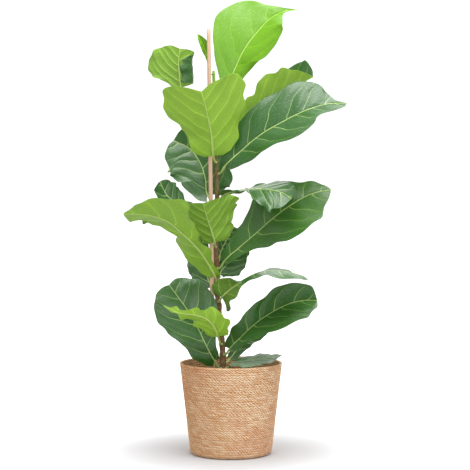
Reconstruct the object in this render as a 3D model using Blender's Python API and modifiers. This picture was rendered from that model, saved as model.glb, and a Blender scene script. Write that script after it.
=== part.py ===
"""Fiddle leaf fig in a coiled cord basket.

Z is up, the basket stands on z = 0 and the front of the plant looks along -Y. Lengths are in metres.
"""

import math

import bmesh
import bpy
import numpy as np
from mathutils import Vector

# Basket
BASKET_HEIGHT = 0.210
BASKET_RIM_RADIUS = 0.118
BASKET_FOOT_RADIUS = 0.0935
BASKET_FOOT_ROUNDING = 0.010
BASKET_WALL = 0.006
BASKET_FLOOR = 0.006

# Nursery pot inside the basket
GAP = 0.0003
POT_CLEARANCE = 0.003
POT_RIM_DROP = 0.028
POT_WALL = 0.0016
POT_FLOOR = 0.002
POT_TAPER = 0.82
POT_LIP_HEIGHT = 0.012
POT_LIP_OUT = 0.0022
POT_HOLE_RADIUS = 0.006
POT_HOLE_COUNT = 6
POT_HOLE_CIRCLE = 0.68

# Growing mix
SOIL_DROP = 0.004
SOIL_MOUND = 0.004
ROOT_STUB_DEPTH = 0.055
CANE_DEPTH = 0.120

# Plant. GROWTH scales the height and the spread of everything above the crown, where the stem starts,
# and CROWN_LIFT is how far the crown stands clear of the soil.
GROWTH = 1.0
CROWN_LIFT = 0.004
TRUNK_RADIUS_LOW = 0.0072
TRUNK_RADIUS_HIGH = 0.0034
CANE_RADIUS_LOW = 0.0052
CANE_RADIUS_HIGH = 0.0042
TIE_RADIUS = 0.0011
PETIOLE_THICKNESS = 0.0042
PETIOLE_HALF_WIDTH = 0.0021
BLADE_SHARE = 0.30
MIDRIB_SHARE = 0.50

ROUND_STEPS = 48
LEAF_COLUMNS = 6
BLADE_ROWS = 12
PETIOLE_ROWS = 3

# Heights that follow from the sizes above
BASKET_INSIDE_FLOOR = BASKET_FLOOR
POT_BOTTOM = BASKET_INSIDE_FLOOR + GAP
POT_TOP = BASKET_HEIGHT - POT_RIM_DROP
SOIL_TOP = POT_TOP - SOIL_DROP


def basket_outer_radius(height):
    """Outer radius of the basket's straight side at a height."""
    share = height / BASKET_HEIGHT
    return BASKET_FOOT_RADIUS + (BASKET_RIM_RADIUS - BASKET_FOOT_RADIUS) * share


POT_TOP_RADIUS = basket_outer_radius(POT_TOP) - BASKET_WALL - POT_CLEARANCE - POT_LIP_OUT
POT_BOTTOM_RADIUS = min(
    POT_TOP_RADIUS * POT_TAPER,
    BASKET_FOOT_RADIUS - BASKET_WALL - POT_CLEARANCE,
)

# The stem's middle line: x, y and the height above the crown.
STEM_LINE = (
    (-0.0185, 0.000, 0.000),
    (-0.0200, 0.001, 0.064),
    (-0.0240, 0.002, 0.110),
    (-0.0300, 0.003, 0.168),
    (-0.0340, 0.003, 0.226),
    (-0.0345, 0.002, 0.283),
    (-0.0330, 0.002, 0.364),
    (-0.0325, 0.003, 0.456),
    (-0.0355, 0.004, 0.548),
    (-0.0380, 0.004, 0.639),
    (-0.0400, 0.003, 0.698),
)
CANE_FOOT = (-0.0410, -0.0110, 0.000)
CANE_TOP = (-0.0510, -0.0120, 0.792)
TIE_HEIGHTS = (0.585, 0.128)

# How a leaf is drawn flat. Each row runs from the midrib to the edge beside a side vein.
# Columns: place on the midrib, place of the row's outer end, half width there in a broad leaf, and how
# much narrower a waisted leaf is there.
LEAF_ROWS = (
    (0.00, -0.030, 0.30, 0.10),
    (0.06, 0.030, 0.54, 0.20),
    (0.14, 0.140, 0.64, 0.26),
    (0.24, 0.285, 0.71, 0.28),
    (0.35, 0.440, 0.80, 0.20),
    (0.47, 0.600, 0.94, 0.06),
    (0.58, 0.735, 1.00, 0.00),
    (0.69, 0.850, 0.98, 0.04),
    (0.80, 0.930, 0.84, 0.08),
    (0.90, 0.980, 0.54, 0.08),
    (0.97, 1.000, 0.22, 0.04),
    (1.00, 1.000, 0.00, 0.00),
)
ROW_BEND = 1.3
TIP_HALF_WIDTH = 0.0015

# Leaves from the top down. Points run along the midrib from the blade's base to its tip, as x, y and
# the height above the crown. joint is the height where the stalk leaves the stem. face is the way the
# upper side looks at the base and at the tip, and turn is where along the blade it changes from one to
# the other. widths, folds, curls and edges hold the right half and then the left half, seen on the
# upper side with the tip up. A fold is the half's rise at the midrib in degrees, and a curl is what it
# gains by the edge. Each point of an edge has its share of the midrib and its distance from it. A leaf
# without edges takes LEAF_ROWS, where waist narrows the lower part of each half and lobe carries the
# upper corners past the tip.
LEAVES = (
    dict(
        name="leaf_01", joint=0.640, widths=(0.076, 0.092), folds=(36, 4), curls=(14, 4),
        face=((0.10, -1.00, 0.10), (-0.20, -0.90, 0.40)),
        edges=(
            (
                (0.02, 0.016), (0.24, 0.046), (0.40, 0.084), (0.56, 0.096), (0.72, 0.092),
                (0.80, 0.050), (0.88, 0.008),
            ),
            (
                (-0.02, 0.016), (0.20, 0.054), (0.35, 0.082), (0.45, 0.096), (0.57, 0.094),
                (0.68, 0.074), (0.77, 0.036), (0.86, 0.010),
            ),
        ),
        line=(
            (-0.008, 0.028, 0.664), (0.009, 0.036, 0.705), (0.032, 0.042, 0.752),
            (0.060, 0.050, 0.790), (0.093, 0.056, 0.824), (0.123, 0.056, 0.840),
            (0.158, 0.050, 0.843),
        ),
    ),
    dict(
        name="leaf_02", joint=0.598, widths=(0.072, 0.090), folds=(12, 10), curls=(-14, -186),
        face=((0.00, 1.00, 0.00), (0.00, 1.00, 0.10)),
        edges=(
            (
                (0.02, 0.014), (0.17, 0.032), (0.27, 0.049), (0.44, 0.068), (0.60, 0.070),
                (0.84, 0.060), (0.97, 0.044), (1.05, 0.022),
            ),
            (
                (-0.05, 0.050), (0.02, 0.084), (0.22, 0.090), (0.60, 0.088), (0.82, 0.074),
                (0.95, 0.046), (1.01, 0.018),
            ),
        ),
        line=(
            (-0.115, 0.022, 0.661), (-0.119, 0.022, 0.690), (-0.121, 0.022, 0.720),
            (-0.117, 0.020, 0.750),
        ),
    ),
    dict(
        name="leaf_03", joint=0.488, widths=(0.102, 0.098), folds=(16, 14), curls=(8, 6),
        face=((0.00, 0.95, 0.10), (0.00, 0.90, 0.45)),
        edges=(
            (
                (-0.02, 0.020), (0.10, 0.050), (0.25, 0.056), (0.46, 0.072), (0.66, 0.096),
                (0.92, 0.100), (1.10, 0.080), (1.07, 0.030),
            ),
            (
                (-0.02, 0.022), (0.08, 0.046), (0.28, 0.061), (0.48, 0.076), (0.69, 0.090),
                (0.89, 0.098), (1.08, 0.088), (1.09, 0.040),
            ),
        ),
        line=(
            (-0.040, -0.040, 0.502), (-0.044, -0.070, 0.549), (-0.054, -0.100, 0.600),
            (-0.065, -0.122, 0.643),
        ),
    ),
    dict(
        name="leaf_04", joint=0.545, widths=(0.054, 0.068), folds=(60, 58), curls=(8, 6),
        face=((-0.35, 0.10, 0.95), (-0.20, -0.25, 1.00)),
        edges=(
            (
                (-0.02, 0.010), (0.15, 0.026), (0.30, 0.040), (0.46, 0.055), (0.56, 0.065),
                (0.76, 0.061), (0.93, 0.028),
            ),
            (
                (-0.02, 0.010), (0.20, 0.022), (0.45, 0.032), (0.68, 0.038), (0.84, 0.050),
                (0.94, 0.052), (1.02, 0.024),
            ),
        ),
        line=(
            (-0.002, 0.022, 0.563), (0.044, 0.032, 0.594), (0.102, 0.038, 0.633),
            (0.155, 0.038, 0.668), (0.190, 0.030, 0.686),
        ),
    ),
    dict(
        name="leaf_05", joint=0.462, widths=(0.076, 0.078), folds=(28, 4), curls=(12, -6),
        face=((0.10, -0.95, 0.30), (-0.20, -0.85, 0.50)),
        edges=(
            (
                (-0.02, 0.012), (0.18, 0.040), (0.31, 0.050), (0.45, 0.066), (0.61, 0.088),
                (0.70, 0.078), (0.76, 0.046), (0.90, 0.034), (0.97, 0.018),
            ),
            (
                (-0.02, 0.010), (0.08, 0.030), (0.20, 0.050), (0.31, 0.058), (0.44, 0.068),
                (0.61, 0.076), (0.75, 0.074), (0.84, 0.054), (0.88, 0.024), (0.94, 0.006),
            ),
        ),
        line=(
            (-0.012, -0.026, 0.482), (0.021, -0.035, 0.512), (0.057, -0.043, 0.543),
            (0.122, -0.053, 0.582), (0.178, -0.058, 0.608), (0.217, -0.055, 0.619),
            (0.262, -0.050, 0.622),
        ),
    ),
    dict(
        name="leaf_06", joint=0.398, widths=(0.064, 0.072), folds=(14, 8), curls=(0, -10),
        face=((0.05, -1.00, 0.15), (0.10, -0.90, 0.30)),
        edges=(
            (
                (-0.08, 0.024), (-0.06, 0.046), (0.10, 0.058), (0.30, 0.062), (0.60, 0.064),
                (0.85, 0.050), (0.98, 0.024),
            ),
            (
                (-0.08, 0.010), (-0.02, 0.024), (0.08, 0.042), (0.31, 0.068), (0.60, 0.076),
                (0.89, 0.070), (1.01, 0.044), (1.03, 0.014),
            ),
        ),
        line=(
            (-0.054, 0.018, 0.413), (-0.060, 0.030, 0.453), (-0.073, 0.042, 0.490),
            (-0.098, 0.050, 0.522), (-0.134, 0.050, 0.540),
        ),
    ),
    dict(
        name="leaf_07", joint=0.402, widths=(0.058, 0.052), folds=(-10, -6), curls=(-18, 0),
        face=((-0.10, 0.80, 0.55), (0.30, -0.68, 0.68)), turn=(0.0, 0.55),
        edges=(
            (
                (-0.02, 0.010), (0.12, 0.012), (0.30, 0.012), (0.45, 0.018), (0.58, 0.037),
                (0.73, 0.053), (0.90, 0.056), (0.99, 0.032),
            ),
            (
                (-0.02, 0.010), (0.15, 0.010), (0.30, 0.012), (0.42, 0.026), (0.58, 0.046),
                (0.76, 0.054), (0.88, 0.044), (0.96, 0.020),
            ),
        ),
        line=(
            (-0.019, -0.016, 0.412), (0.016, -0.040, 0.425), (0.050, -0.068, 0.428),
            (0.090, -0.090, 0.426), (0.116, -0.100, 0.419), (0.135, -0.108, 0.406),
        ),
    ),
    dict(
        name="leaf_08", joint=0.335, widths=(0.040, 0.050), folds=(22, 60), curls=(4, 6),
        face=((0.30, -0.20, 0.90), (0.80, -0.45, 0.55)), waist=(0.5, 0.5),
        line=(
            (-0.056, 0.016, 0.349), (-0.088, 0.016, 0.372), (-0.130, 0.012, 0.388),
            (-0.154, 0.008, 0.402), (-0.164, 0.004, 0.424), (-0.163, 0.002, 0.444),
        ),
    ),
    dict(
        name="leaf_09", joint=0.294, widths=(0.056, 0.080), folds=(10, 14), curls=(6, 6),
        face=((0.00, 0.90, 0.20), (0.00, 0.85, 0.50)), lobe=0.06, waist=(0.3, 0.3),
        line=(
            (-0.037, -0.028, 0.306), (-0.046, -0.046, 0.338), (-0.057, -0.068, 0.374),
            (-0.062, -0.084, 0.396),
        ),
    ),
    dict(
        name="leaf_10", joint=0.212, widths=(0.076, 0.072), folds=(12, 6), curls=(8, 4),
        face=((0.10, 0.75, 0.60), (0.00, 0.50, 0.85)),
        edges=(
            (
                (-0.02, 0.014), (0.15, 0.042), (0.32, 0.050), (0.42, 0.042), (0.52, 0.024),
                (0.62, 0.044), (0.74, 0.066), (0.84, 0.084), (0.94, 0.046),
            ),
            (
                (-0.02, 0.012), (0.15, 0.015), (0.30, 0.019), (0.44, 0.029), (0.54, 0.041),
                (0.61, 0.058), (0.67, 0.074), (0.75, 0.066), (0.84, 0.058), (0.93, 0.034),
            ),
        ),
        line=(
            (-0.036, -0.030, 0.228), (-0.052, -0.050, 0.260), (-0.078, -0.082, 0.299),
            (-0.111, -0.115, 0.333), (-0.139, -0.135, 0.357), (-0.177, -0.150, 0.370),
            (-0.235, -0.165, 0.374),
        ),
    ),
    dict(
        name="leaf_11", joint=0.245, widths=(0.070, 0.056), folds=(12, 8), curls=(6, -6),
        face=((-0.25, -0.90, 0.30), (-0.20, -0.85, 0.50)),
        edges=(
            (
                (-0.02, 0.010), (0.11, 0.019), (0.26, 0.034), (0.36, 0.052), (0.49, 0.080),
                (0.60, 0.090), (0.72, 0.087), (0.82, 0.074), (0.92, 0.042), (0.97, 0.018),
            ),
            (
                (-0.02, 0.010), (0.12, 0.027), (0.24, 0.037), (0.42, 0.057), (0.52, 0.070),
                (0.69, 0.066), (0.82, 0.038), (0.91, 0.022), (0.97, 0.012),
            ),
        ),
        line=(
            (-0.016, -0.018, 0.262), (0.021, -0.031, 0.296), (0.056, -0.037, 0.326),
            (0.093, -0.041, 0.359), (0.136, -0.041, 0.391), (0.182, -0.036, 0.416),
            (0.228, -0.028, 0.427),
        ),
    ),
    dict(
        name="leaf_12", joint=0.262, widths=(0.034, 0.030), folds=(12, 12), curls=(0, 0),
        face=((0.00, -0.95, 0.30), (0.10, -0.80, 0.60)), waist=(0.2, 0.2),
        line=(
            (-0.026, 0.014, 0.274), (-0.018, 0.018, 0.295), (-0.005, 0.022, 0.318),
            (0.007, 0.026, 0.340),
        ),
    ),
    dict(
        name="leaf_13", joint=0.216, widths=(0.044, 0.044), folds=(8, 10), curls=(-6, 0),
        face=((0.00, -1.00, 0.10), (0.00, -0.90, 0.40)),
        edges=(
            (
                (-0.06, 0.010), (0.17, 0.034), (0.34, 0.039), (0.50, 0.036), (0.68, 0.030),
                (0.88, 0.018),
            ),
            (
                (-0.04, 0.010), (0.17, 0.034), (0.40, 0.040), (0.70, 0.034), (0.90, 0.018),
            ),
        ),
        line=(
            (-0.026, 0.018, 0.230), (-0.005, 0.036, 0.258), (0.015, 0.050, 0.288),
            (0.030, 0.060, 0.318),
        ),
    ),
    dict(
        name="leaf_14", joint=0.185, widths=(0.044, 0.038), folds=(-14, 20), curls=(-6, 0),
        face=((0.10, -1.00, 0.10), (0.10, -0.90, 0.30)),
        edges=(
            (
                (-0.02, 0.016), (0.20, 0.030), (0.50, 0.038), (0.75, 0.034), (0.92, 0.018),
            ),
            (
                (-0.02, 0.020), (0.17, 0.034), (0.33, 0.041), (0.51, 0.034), (0.70, 0.030),
                (0.90, 0.016),
            ),
        ),
        line=(
            (-0.046, 0.022, 0.200), (-0.059, 0.044, 0.231), (-0.076, 0.062, 0.268),
            (-0.090, 0.074, 0.300), (-0.098, 0.082, 0.330),
        ),
    ),
    dict(
        name="leaf_15", joint=0.168, widths=(0.050, 0.070), folds=(-4, -10), curls=(-6, 0),
        face=((0.20, 0.95, 0.25), (0.05, -0.16, 1.00)), turn=(0.08, 0.40),
        edges=(
            (
                (-0.02, 0.020), (0.06, 0.036), (0.14, 0.036), (0.24, 0.024), (0.36, 0.030),
                (0.55, 0.040), (0.75, 0.044), (0.92, 0.024),
            ),
            (
                (-0.11, 0.028), (-0.05, 0.032), (0.03, 0.024), (0.12, 0.018), (0.22, 0.018),
                (0.36, 0.032), (0.60, 0.046), (0.78, 0.044), (0.93, 0.022),
            ),
        ),
        line=(
            (-0.021, -0.026, 0.180), (0.007, -0.046, 0.207), (0.034, -0.065, 0.227),
            (0.056, -0.085, 0.239), (0.085, -0.105, 0.246), (0.116, -0.120, 0.246),
            (0.144, -0.128, 0.240), (0.173, -0.130, 0.227),
        ),
    ),
    dict(
        name="leaf_16", joint=0.070, widths=(0.060, 0.026), folds=(12, 22), curls=(6, 6),
        face=((0.10, 0.80, 0.50), (0.00, 0.60, 0.80)),
        edges=(
            (
                (-0.02, 0.014), (0.05, 0.028), (0.14, 0.040), (0.28, 0.046), (0.46, 0.045),
                (0.66, 0.042), (0.83, 0.016), (0.93, 0.006),
            ),
            (
                (-0.02, 0.022), (0.11, 0.031), (0.22, 0.033), (0.36, 0.031), (0.50, 0.022),
                (0.66, 0.014), (0.82, 0.008),
            ),
        ),
        line=(
            (-0.029, -0.054, 0.093), (-0.037, -0.080, 0.118), (-0.054, -0.104, 0.139),
            (-0.084, -0.122, 0.150), (-0.117, -0.132, 0.155), (-0.150, -0.136, 0.171),
        ),
    ),
    dict(
        name="leaf_17", joint=0.014, widths=(0.074, 0.066), folds=(14, 8), curls=(0, -10),
        face=((0.05, -0.90, 0.40), (0.10, -0.65, 0.70)),
        edges=(
            (
                (-0.02, 0.012), (0.12, 0.020), (0.28, 0.034), (0.42, 0.054), (0.60, 0.067),
                (0.77, 0.068), (0.88, 0.060), (0.97, 0.042), (1.02, 0.018),
            ),
            (
                (-0.06, 0.010), (0.10, 0.036), (0.21, 0.044), (0.34, 0.054), (0.48, 0.065),
                (0.60, 0.076), (0.72, 0.077), (0.83, 0.070), (0.93, 0.050), (1.00, 0.024),
            ),
        ),
        line=(
            (-0.038, -0.030, 0.036), (-0.053, -0.038, 0.064), (-0.076, -0.040, 0.112),
            (-0.098, -0.036, 0.150), (-0.121, -0.028, 0.181), (-0.142, -0.016, 0.208),
        ),
    ),
    dict(
        name="leaf_18", joint=0.046, widths=(0.080, 0.046), folds=(26, 54), curls=(8, 4),
        face=((-0.25, -0.85, 0.45), (-0.20, -0.75, 0.60)),
        edges=(
            (
                (-0.02, 0.010), (0.18, 0.032), (0.32, 0.050), (0.47, 0.074), (0.62, 0.098),
                (0.76, 0.092), (0.89, 0.064), (0.97, 0.034),
            ),
            (
                (-0.02, 0.012), (0.10, 0.024), (0.25, 0.031), (0.48, 0.040), (0.69, 0.048),
                (0.80, 0.047), (0.90, 0.038), (0.97, 0.020),
            ),
        ),
        line=(
            (-0.004, -0.026, 0.062), (0.019, -0.041, 0.087), (0.061, -0.055, 0.127),
            (0.090, -0.060, 0.147), (0.122, -0.060, 0.164), (0.161, -0.056, 0.175),
            (0.196, -0.050, 0.175),
        ),
    ),
    dict(
        name="leaf_19", joint=0.026, widths=(0.028, 0.024), folds=(8, 8), curls=(0, 0),
        face=((0.00, -1.00, 0.10), (0.00, -0.90, 0.40)), waist=(0.4, 0.4),
        line=(
            (-0.001, 0.018, 0.036), (0.021, 0.030, 0.062), (0.053, 0.044, 0.094),
            (0.075, 0.054, 0.117), (0.088, 0.060, 0.131),
        ),
    ),
    dict(
        name="leaf_20", joint=0.014, widths=(0.056, 0.058), folds=(4, 4), curls=(-12, -10),
        face=((0.00, -0.12, 1.00), (0.00, -0.16, 1.00)),
        edges=(
            (
                (-0.04, 0.014), (0.12, 0.040), (0.35, 0.056), (0.60, 0.054), (0.82, 0.036),
                (0.93, 0.016),
            ),
            (
                (-0.04, 0.012), (0.10, 0.034), (0.25, 0.044), (0.45, 0.043), (0.69, 0.030),
                (0.88, 0.012),
            ),
        ),
        line=(
            (0.002, -0.018, 0.027), (0.032, -0.024, 0.034), (0.071, -0.030, 0.041),
            (0.118, -0.030, 0.048),
        ),
    ),
    dict(
        name="terminal_bud", joint=0.690, widths=(0.012, 0.011), folds=(30, 34), curls=(10, 10),
        face=((0.00, -1.00, 0.10), (0.00, -0.90, 0.40)),
        edges=(
            ((0.02, 0.003), (0.25, 0.006), (0.55, 0.012), (0.75, 0.011), (0.90, 0.006)),
            ((0.02, 0.003), (0.25, 0.006), (0.52, 0.011), (0.72, 0.010), (0.90, 0.005)),
        ),
        line=(
            (-0.050, 0.006, 0.712), (-0.056, 0.006, 0.736), (-0.064, 0.005, 0.758),
            (-0.077, 0.004, 0.782),
        ),
    ),
)


def start_clean():
    """Removes every object so that only the plant is in the file."""
    for item in list(bpy.data.objects):
        bpy.data.objects.remove(item, do_unlink=True)


def new_collection(name):
    """A collection in the scene."""
    group = bpy.data.collections.new(name)
    bpy.context.scene.collection.children.link(group)
    return group


def plain_material(name, colour, roughness):
    """A plain surface for one kind of part."""
    material = bpy.data.materials.new(name)
    material.use_nodes = True
    shader = material.node_tree.nodes["Principled BSDF"]
    shader.inputs["Base Color"].default_value = (*colour, 1.0)
    shader.inputs["Roughness"].default_value = roughness
    material.diffuse_color = (*colour, 1.0)
    return material


def add_mesh(name, mesh, material, group):
    """An object for a mesh, with its material."""
    thing = bpy.data.objects.new(name, mesh)
    mesh.materials.append(material)
    group.objects.link(thing)
    return thing


def turned(name, profile, material, group, steps=ROUND_STEPS):
    """A body turned about Z from radius and height pairs that run up its outer side."""
    body = bmesh.new()
    corners = [body.verts.new((radius, 0.0, height)) for radius, height in reversed(profile)]
    for first, second in zip(corners, corners[1:]):
        body.edges.new((first, second))
    mesh = bpy.data.meshes.new(name)
    body.to_mesh(mesh)
    body.free()
    thing = add_mesh(name, mesh, material, group)
    screw = thing.modifiers.new("Turn", "SCREW")
    screw.axis = "Z"
    screw.angle = math.tau
    screw.steps = steps
    screw.render_steps = steps
    screw.use_merge_vertices = True
    screw.merge_threshold = 0.00001
    screw.use_smooth_shade = True
    return thing


def rod(name, points, radii, material, group, cyclic=False):
    """A round rod along points, with a radius at each."""
    curve = bpy.data.curves.new(name, "CURVE")
    curve.dimensions = "3D"
    curve.bevel_depth = 1.0
    curve.bevel_resolution = 2
    curve.use_fill_caps = True
    spline = curve.splines.new("POLY")
    spline.points.add(len(points) - 1)
    spline.use_cyclic_u = cyclic
    for knot, place, radius in zip(spline.points, points, radii):
        knot.co = (*place, 1.0)
        knot.radius = radius
    curve.materials.append(material)
    thing = bpy.data.objects.new(name, curve)
    group.objects.link(thing)
    return thing


def cutter(name, radius, low, high, place, group):
    """A round cutter that is left out of the model."""
    body = bmesh.new()
    bmesh.ops.create_cone(
        body,
        cap_ends=True,
        segments=24,
        radius1=radius,
        radius2=radius,
        depth=high - low,
    )
    bmesh.ops.translate(body, verts=body.verts, vec=(place[0], place[1], (low + high) / 2))
    mesh = bpy.data.meshes.new(name)
    body.to_mesh(mesh)
    body.free()
    thing = bpy.data.objects.new(name, mesh)
    thing.hide_render = True
    thing.display_type = "WIRE"
    group.objects.link(thing)
    return thing


def cut(thing, tool):
    """Takes the tool's volume out of the thing."""
    boolean = thing.modifiers.new("Cut " + tool.name, "BOOLEAN")
    boolean.operation = "DIFFERENCE"
    boolean.solver = "EXACT"
    boolean.object = tool


def above_crown(place):
    """A point of the plant, grown to size and stood on its crown."""
    crown = SOIL_TOP + CROWN_LIFT
    return np.array((place[0] * GROWTH, place[1] * GROWTH, crown + place[2] * GROWTH))


def stem_at(height):
    """The stem's middle at a height above the crown, before growth is applied."""
    line = np.array(STEM_LINE)
    return np.array([np.interp(height, line[:, 2], line[:, axis]) for axis in range(3)])


def stem_radius(height):
    """The stem's radius at a height above the crown."""
    share = min(max(height / STEM_LINE[-1][2], 0.0), 1.0)
    return TRUNK_RADIUS_LOW + (TRUNK_RADIUS_HIGH - TRUNK_RADIUS_LOW) * share


def smooth_line(points, steps=24):
    """Closely spaced points along a smooth curve through the given ones, with their run lengths."""
    points = np.array(points, dtype=float)
    chords = np.linalg.norm(np.diff(points, axis=0), axis=1)
    slopes = np.diff(points, axis=0) / chords[:, None]
    tangents = np.empty_like(points)
    tangents[0] = slopes[0]
    tangents[-1] = slopes[-1]
    for i in range(1, len(points) - 1):
        before, after = chords[i - 1], chords[i]
        tangents[i] = (slopes[i - 1] * after + slopes[i] * before) / (before + after)
    fine = [points[0]]
    for i, chord in enumerate(chords):
        for step in range(1, steps + 1):
            t = step / steps
            fine.append(
                points[i] * (1 - t) ** 2 * (1 + 2 * t)
                + tangents[i] * chord * t * (1 - t) ** 2
                + points[i + 1] * t**2 * (3 - 2 * t)
                - tangents[i + 1] * chord * t**2 * (1 - t)
            )
    fine = np.array(fine)
    run = np.concatenate(([0.0], np.cumsum(np.linalg.norm(np.diff(fine, axis=0), axis=1))))
    return fine, run


def smooth_edge(points):
    """A leaf half's edge as closely spaced points, with their run lengths."""
    line, run = smooth_line([(along * 0.2, width, 0.0) for along, width in points] + [(0.2, 0.0, 0.0)])
    return line[:, :2] / (0.2, 1.0), run


def unit(vector):
    """The vector at length one."""
    return vector / np.linalg.norm(vector)


class LeafShape:
    """Where the points of a leaf lie: its stalk, midrib and two halves."""

    def __init__(self, leaf):
        self.leaf = leaf
        blade = [above_crown(place) for place in leaf["line"]]
        joint = above_crown(stem_at(leaf["joint"]))
        out = blade[0] - joint
        out[2] = 0.0
        out = unit(out)
        reach = stem_radius(leaf["joint"]) + 3 * GAP
        start = joint + out * reach
        knee = start + out * PETIOLE_THICKNESS
        self.fine, self.run = smooth_line([start, knee] + blade)
        blade_start = 2 * 24
        self.base = self.run[blade_start]
        self.length = self.run[-1] - self.base
        first = unit(blade[1] - blade[0])
        last = unit(blade[-1] - blade[-2])
        self.side_first = unit(np.cross(first, unit(np.array(leaf["face"][0]))))
        self.side_last = unit(np.cross(last, unit(np.array(leaf["face"][1]))))
        self.edges = [smooth_edge(edge) for edge in leaf.get("edges", ())]

    def frame(self, run):
        """The midrib's point at a run length, with its forward, right-hand and upper directions."""
        inside = min(max(run, 0.0), self.run[-1])
        place = np.array([np.interp(inside, self.run, self.fine[:, axis]) for axis in range(3)])
        ahead = min(inside + 0.004, self.run[-1])
        behind = max(inside - 0.004, 0.0)
        front = np.array([np.interp(ahead, self.run, self.fine[:, axis]) for axis in range(3)])
        back = np.array([np.interp(behind, self.run, self.fine[:, axis]) for axis in range(3)])
        forward = unit(front - back)
        place = place + forward * (run - inside)
        first, last = self.leaf.get("turn", (0.0, 1.0))
        share = (run - self.base) / self.length
        share = min(max((share - first) / (last - first), 0.0), 1.0)
        share = share * share * (3 - 2 * share)
        side = self.side_first * (1 - share) + self.side_last * share
        side = unit(side - forward * np.dot(side, forward))
        return place, forward, side, np.cross(side, forward)

    def outline(self, share, hand):
        """Where a row ends and how wide it is, by the row's place on the midrib."""
        if self.edges:
            line, run = self.edges[hand]
            place = share * run[-1]
            end, width = (np.interp(place, run, line[:, axis]) for axis in range(2))
            return end, max(width, TIP_HALF_WIDTH)
        rows = np.array(LEAF_ROWS)
        end = np.interp(share, rows[:, 0], rows[:, 1])
        width = np.interp(share, rows[:, 0], rows[:, 2])
        waist = self.leaf.get("waist", (0.0, 0.0))[hand]
        width = (width - np.interp(share, rows[:, 0], rows[:, 3]) * waist) * self.leaf["widths"][hand]
        lobe = self.leaf.get("lobe", 0.0)
        end = end + lobe * math.sin(math.pi * min(max((share - 0.35) / 0.65, 0.0), 1.0))
        return end, max(width, TIP_HALF_WIDTH)

    def stalk_point(self, run, across):
        """A point of the stalk; across runs from -1 to 1."""
        place, _, side, _ = self.frame(run)
        return place + side * PETIOLE_HALF_WIDTH * across

    def blade_point(self, share, across):
        """A point of the blade; across is 1 at the right edge and -1 at the left."""
        hand = 0 if across > 0 else 1
        end, width = self.outline(share, hand)
        distance = abs(across)
        along = share + (end - share) * distance**ROW_BEND
        half = self.leaf["widths"][hand] * GROWTH
        reach = width * GROWTH * distance
        settle = min(0.35 + share * 2.6, 1.0)
        fold = math.radians(self.leaf["folds"][hand]) * settle
        turn = math.radians(self.leaf["curls"][hand]) / half + 1e-6
        outward = (math.sin(fold + turn * reach) - math.sin(fold)) / turn
        upward = (math.cos(fold) - math.cos(fold + turn * reach)) / turn
        place, _, side, upper = self.frame(self.base + along * self.length)
        sign = 1.0 if across > 0 else -1.0
        return place + side * outward * sign + upper * upward


def make_leaf(leaf, material, group):
    """A leaf with its stalk, as one closed body."""
    shape = LeafShape(leaf)
    rows = PETIOLE_ROWS + 1 + BLADE_ROWS
    body = bmesh.new()
    bmesh.ops.create_grid(body, x_segments=LEAF_COLUMNS, y_segments=rows, size=1.0)
    weights = {}
    body.verts.ensure_lookup_table()
    for vertex in body.verts:
        across = vertex.co.x
        row = round((vertex.co.y + 1.0) / 2.0 * rows)
        if row <= PETIOLE_ROWS:
            run = (shape.base - 0.003) * row / PETIOLE_ROWS
            vertex.co = Vector(shape.stalk_point(run, across))
            weights[vertex.index] = 1.0
        else:
            share = (row - PETIOLE_ROWS - 1) / BLADE_ROWS
            share = share + 0.035 * math.sin(math.tau * share)
            vertex.co = Vector(shape.blade_point(share, across))
            rib = max(1.0 - abs(across) / 0.4, 0.0) * (MIDRIB_SHARE - BLADE_SHARE) * (1 - share)
            weights[vertex.index] = BLADE_SHARE + rib
    mesh = bpy.data.meshes.new(leaf["name"])
    body.to_mesh(mesh)
    body.free()
    for polygon in mesh.polygons:
        polygon.use_smooth = True
    thing = add_mesh(leaf["name"], mesh, material, group)
    thickness = thing.vertex_groups.new(name="Thickness")
    for index, weight in weights.items():
        thickness.add([index], weight, "REPLACE")
    solid = thing.modifiers.new("Thickness", "SOLIDIFY")
    solid.thickness = PETIOLE_THICKNESS
    solid.offset = 0.0
    solid.vertex_group = "Thickness"
    return thing


def basket_profile():
    """The basket's wall and floor, from the axis under the foot round to the axis inside."""
    foot = BASKET_FOOT_ROUNDING
    corner = [(BASKET_FOOT_RADIUS - foot, 0.0)]
    for step in range(1, 4):
        angle = math.pi / 2 * step / 4
        corner.append(
            (
                basket_outer_radius(foot) - foot + foot * math.sin(angle),
                foot - foot * math.cos(angle),
            )
        )
    corner.append((basket_outer_radius(foot), foot))
    lip = BASKET_WALL / 2
    rim = []
    for step in range(0, 7):
        angle = math.pi * step / 6
        rim.append(
            (
                BASKET_RIM_RADIUS - lip + lip * math.cos(angle),
                BASKET_HEIGHT - lip + lip * math.sin(angle),
            )
        )
    inside = [
        (basket_outer_radius(foot) - BASKET_WALL, foot + BASKET_FLOOR / 2),
        (basket_outer_radius(foot) - BASKET_WALL - 0.004, BASKET_INSIDE_FLOOR),
        (0.0, BASKET_INSIDE_FLOOR),
    ]
    return [(0.0, 0.0)] + corner + rim + inside


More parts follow.
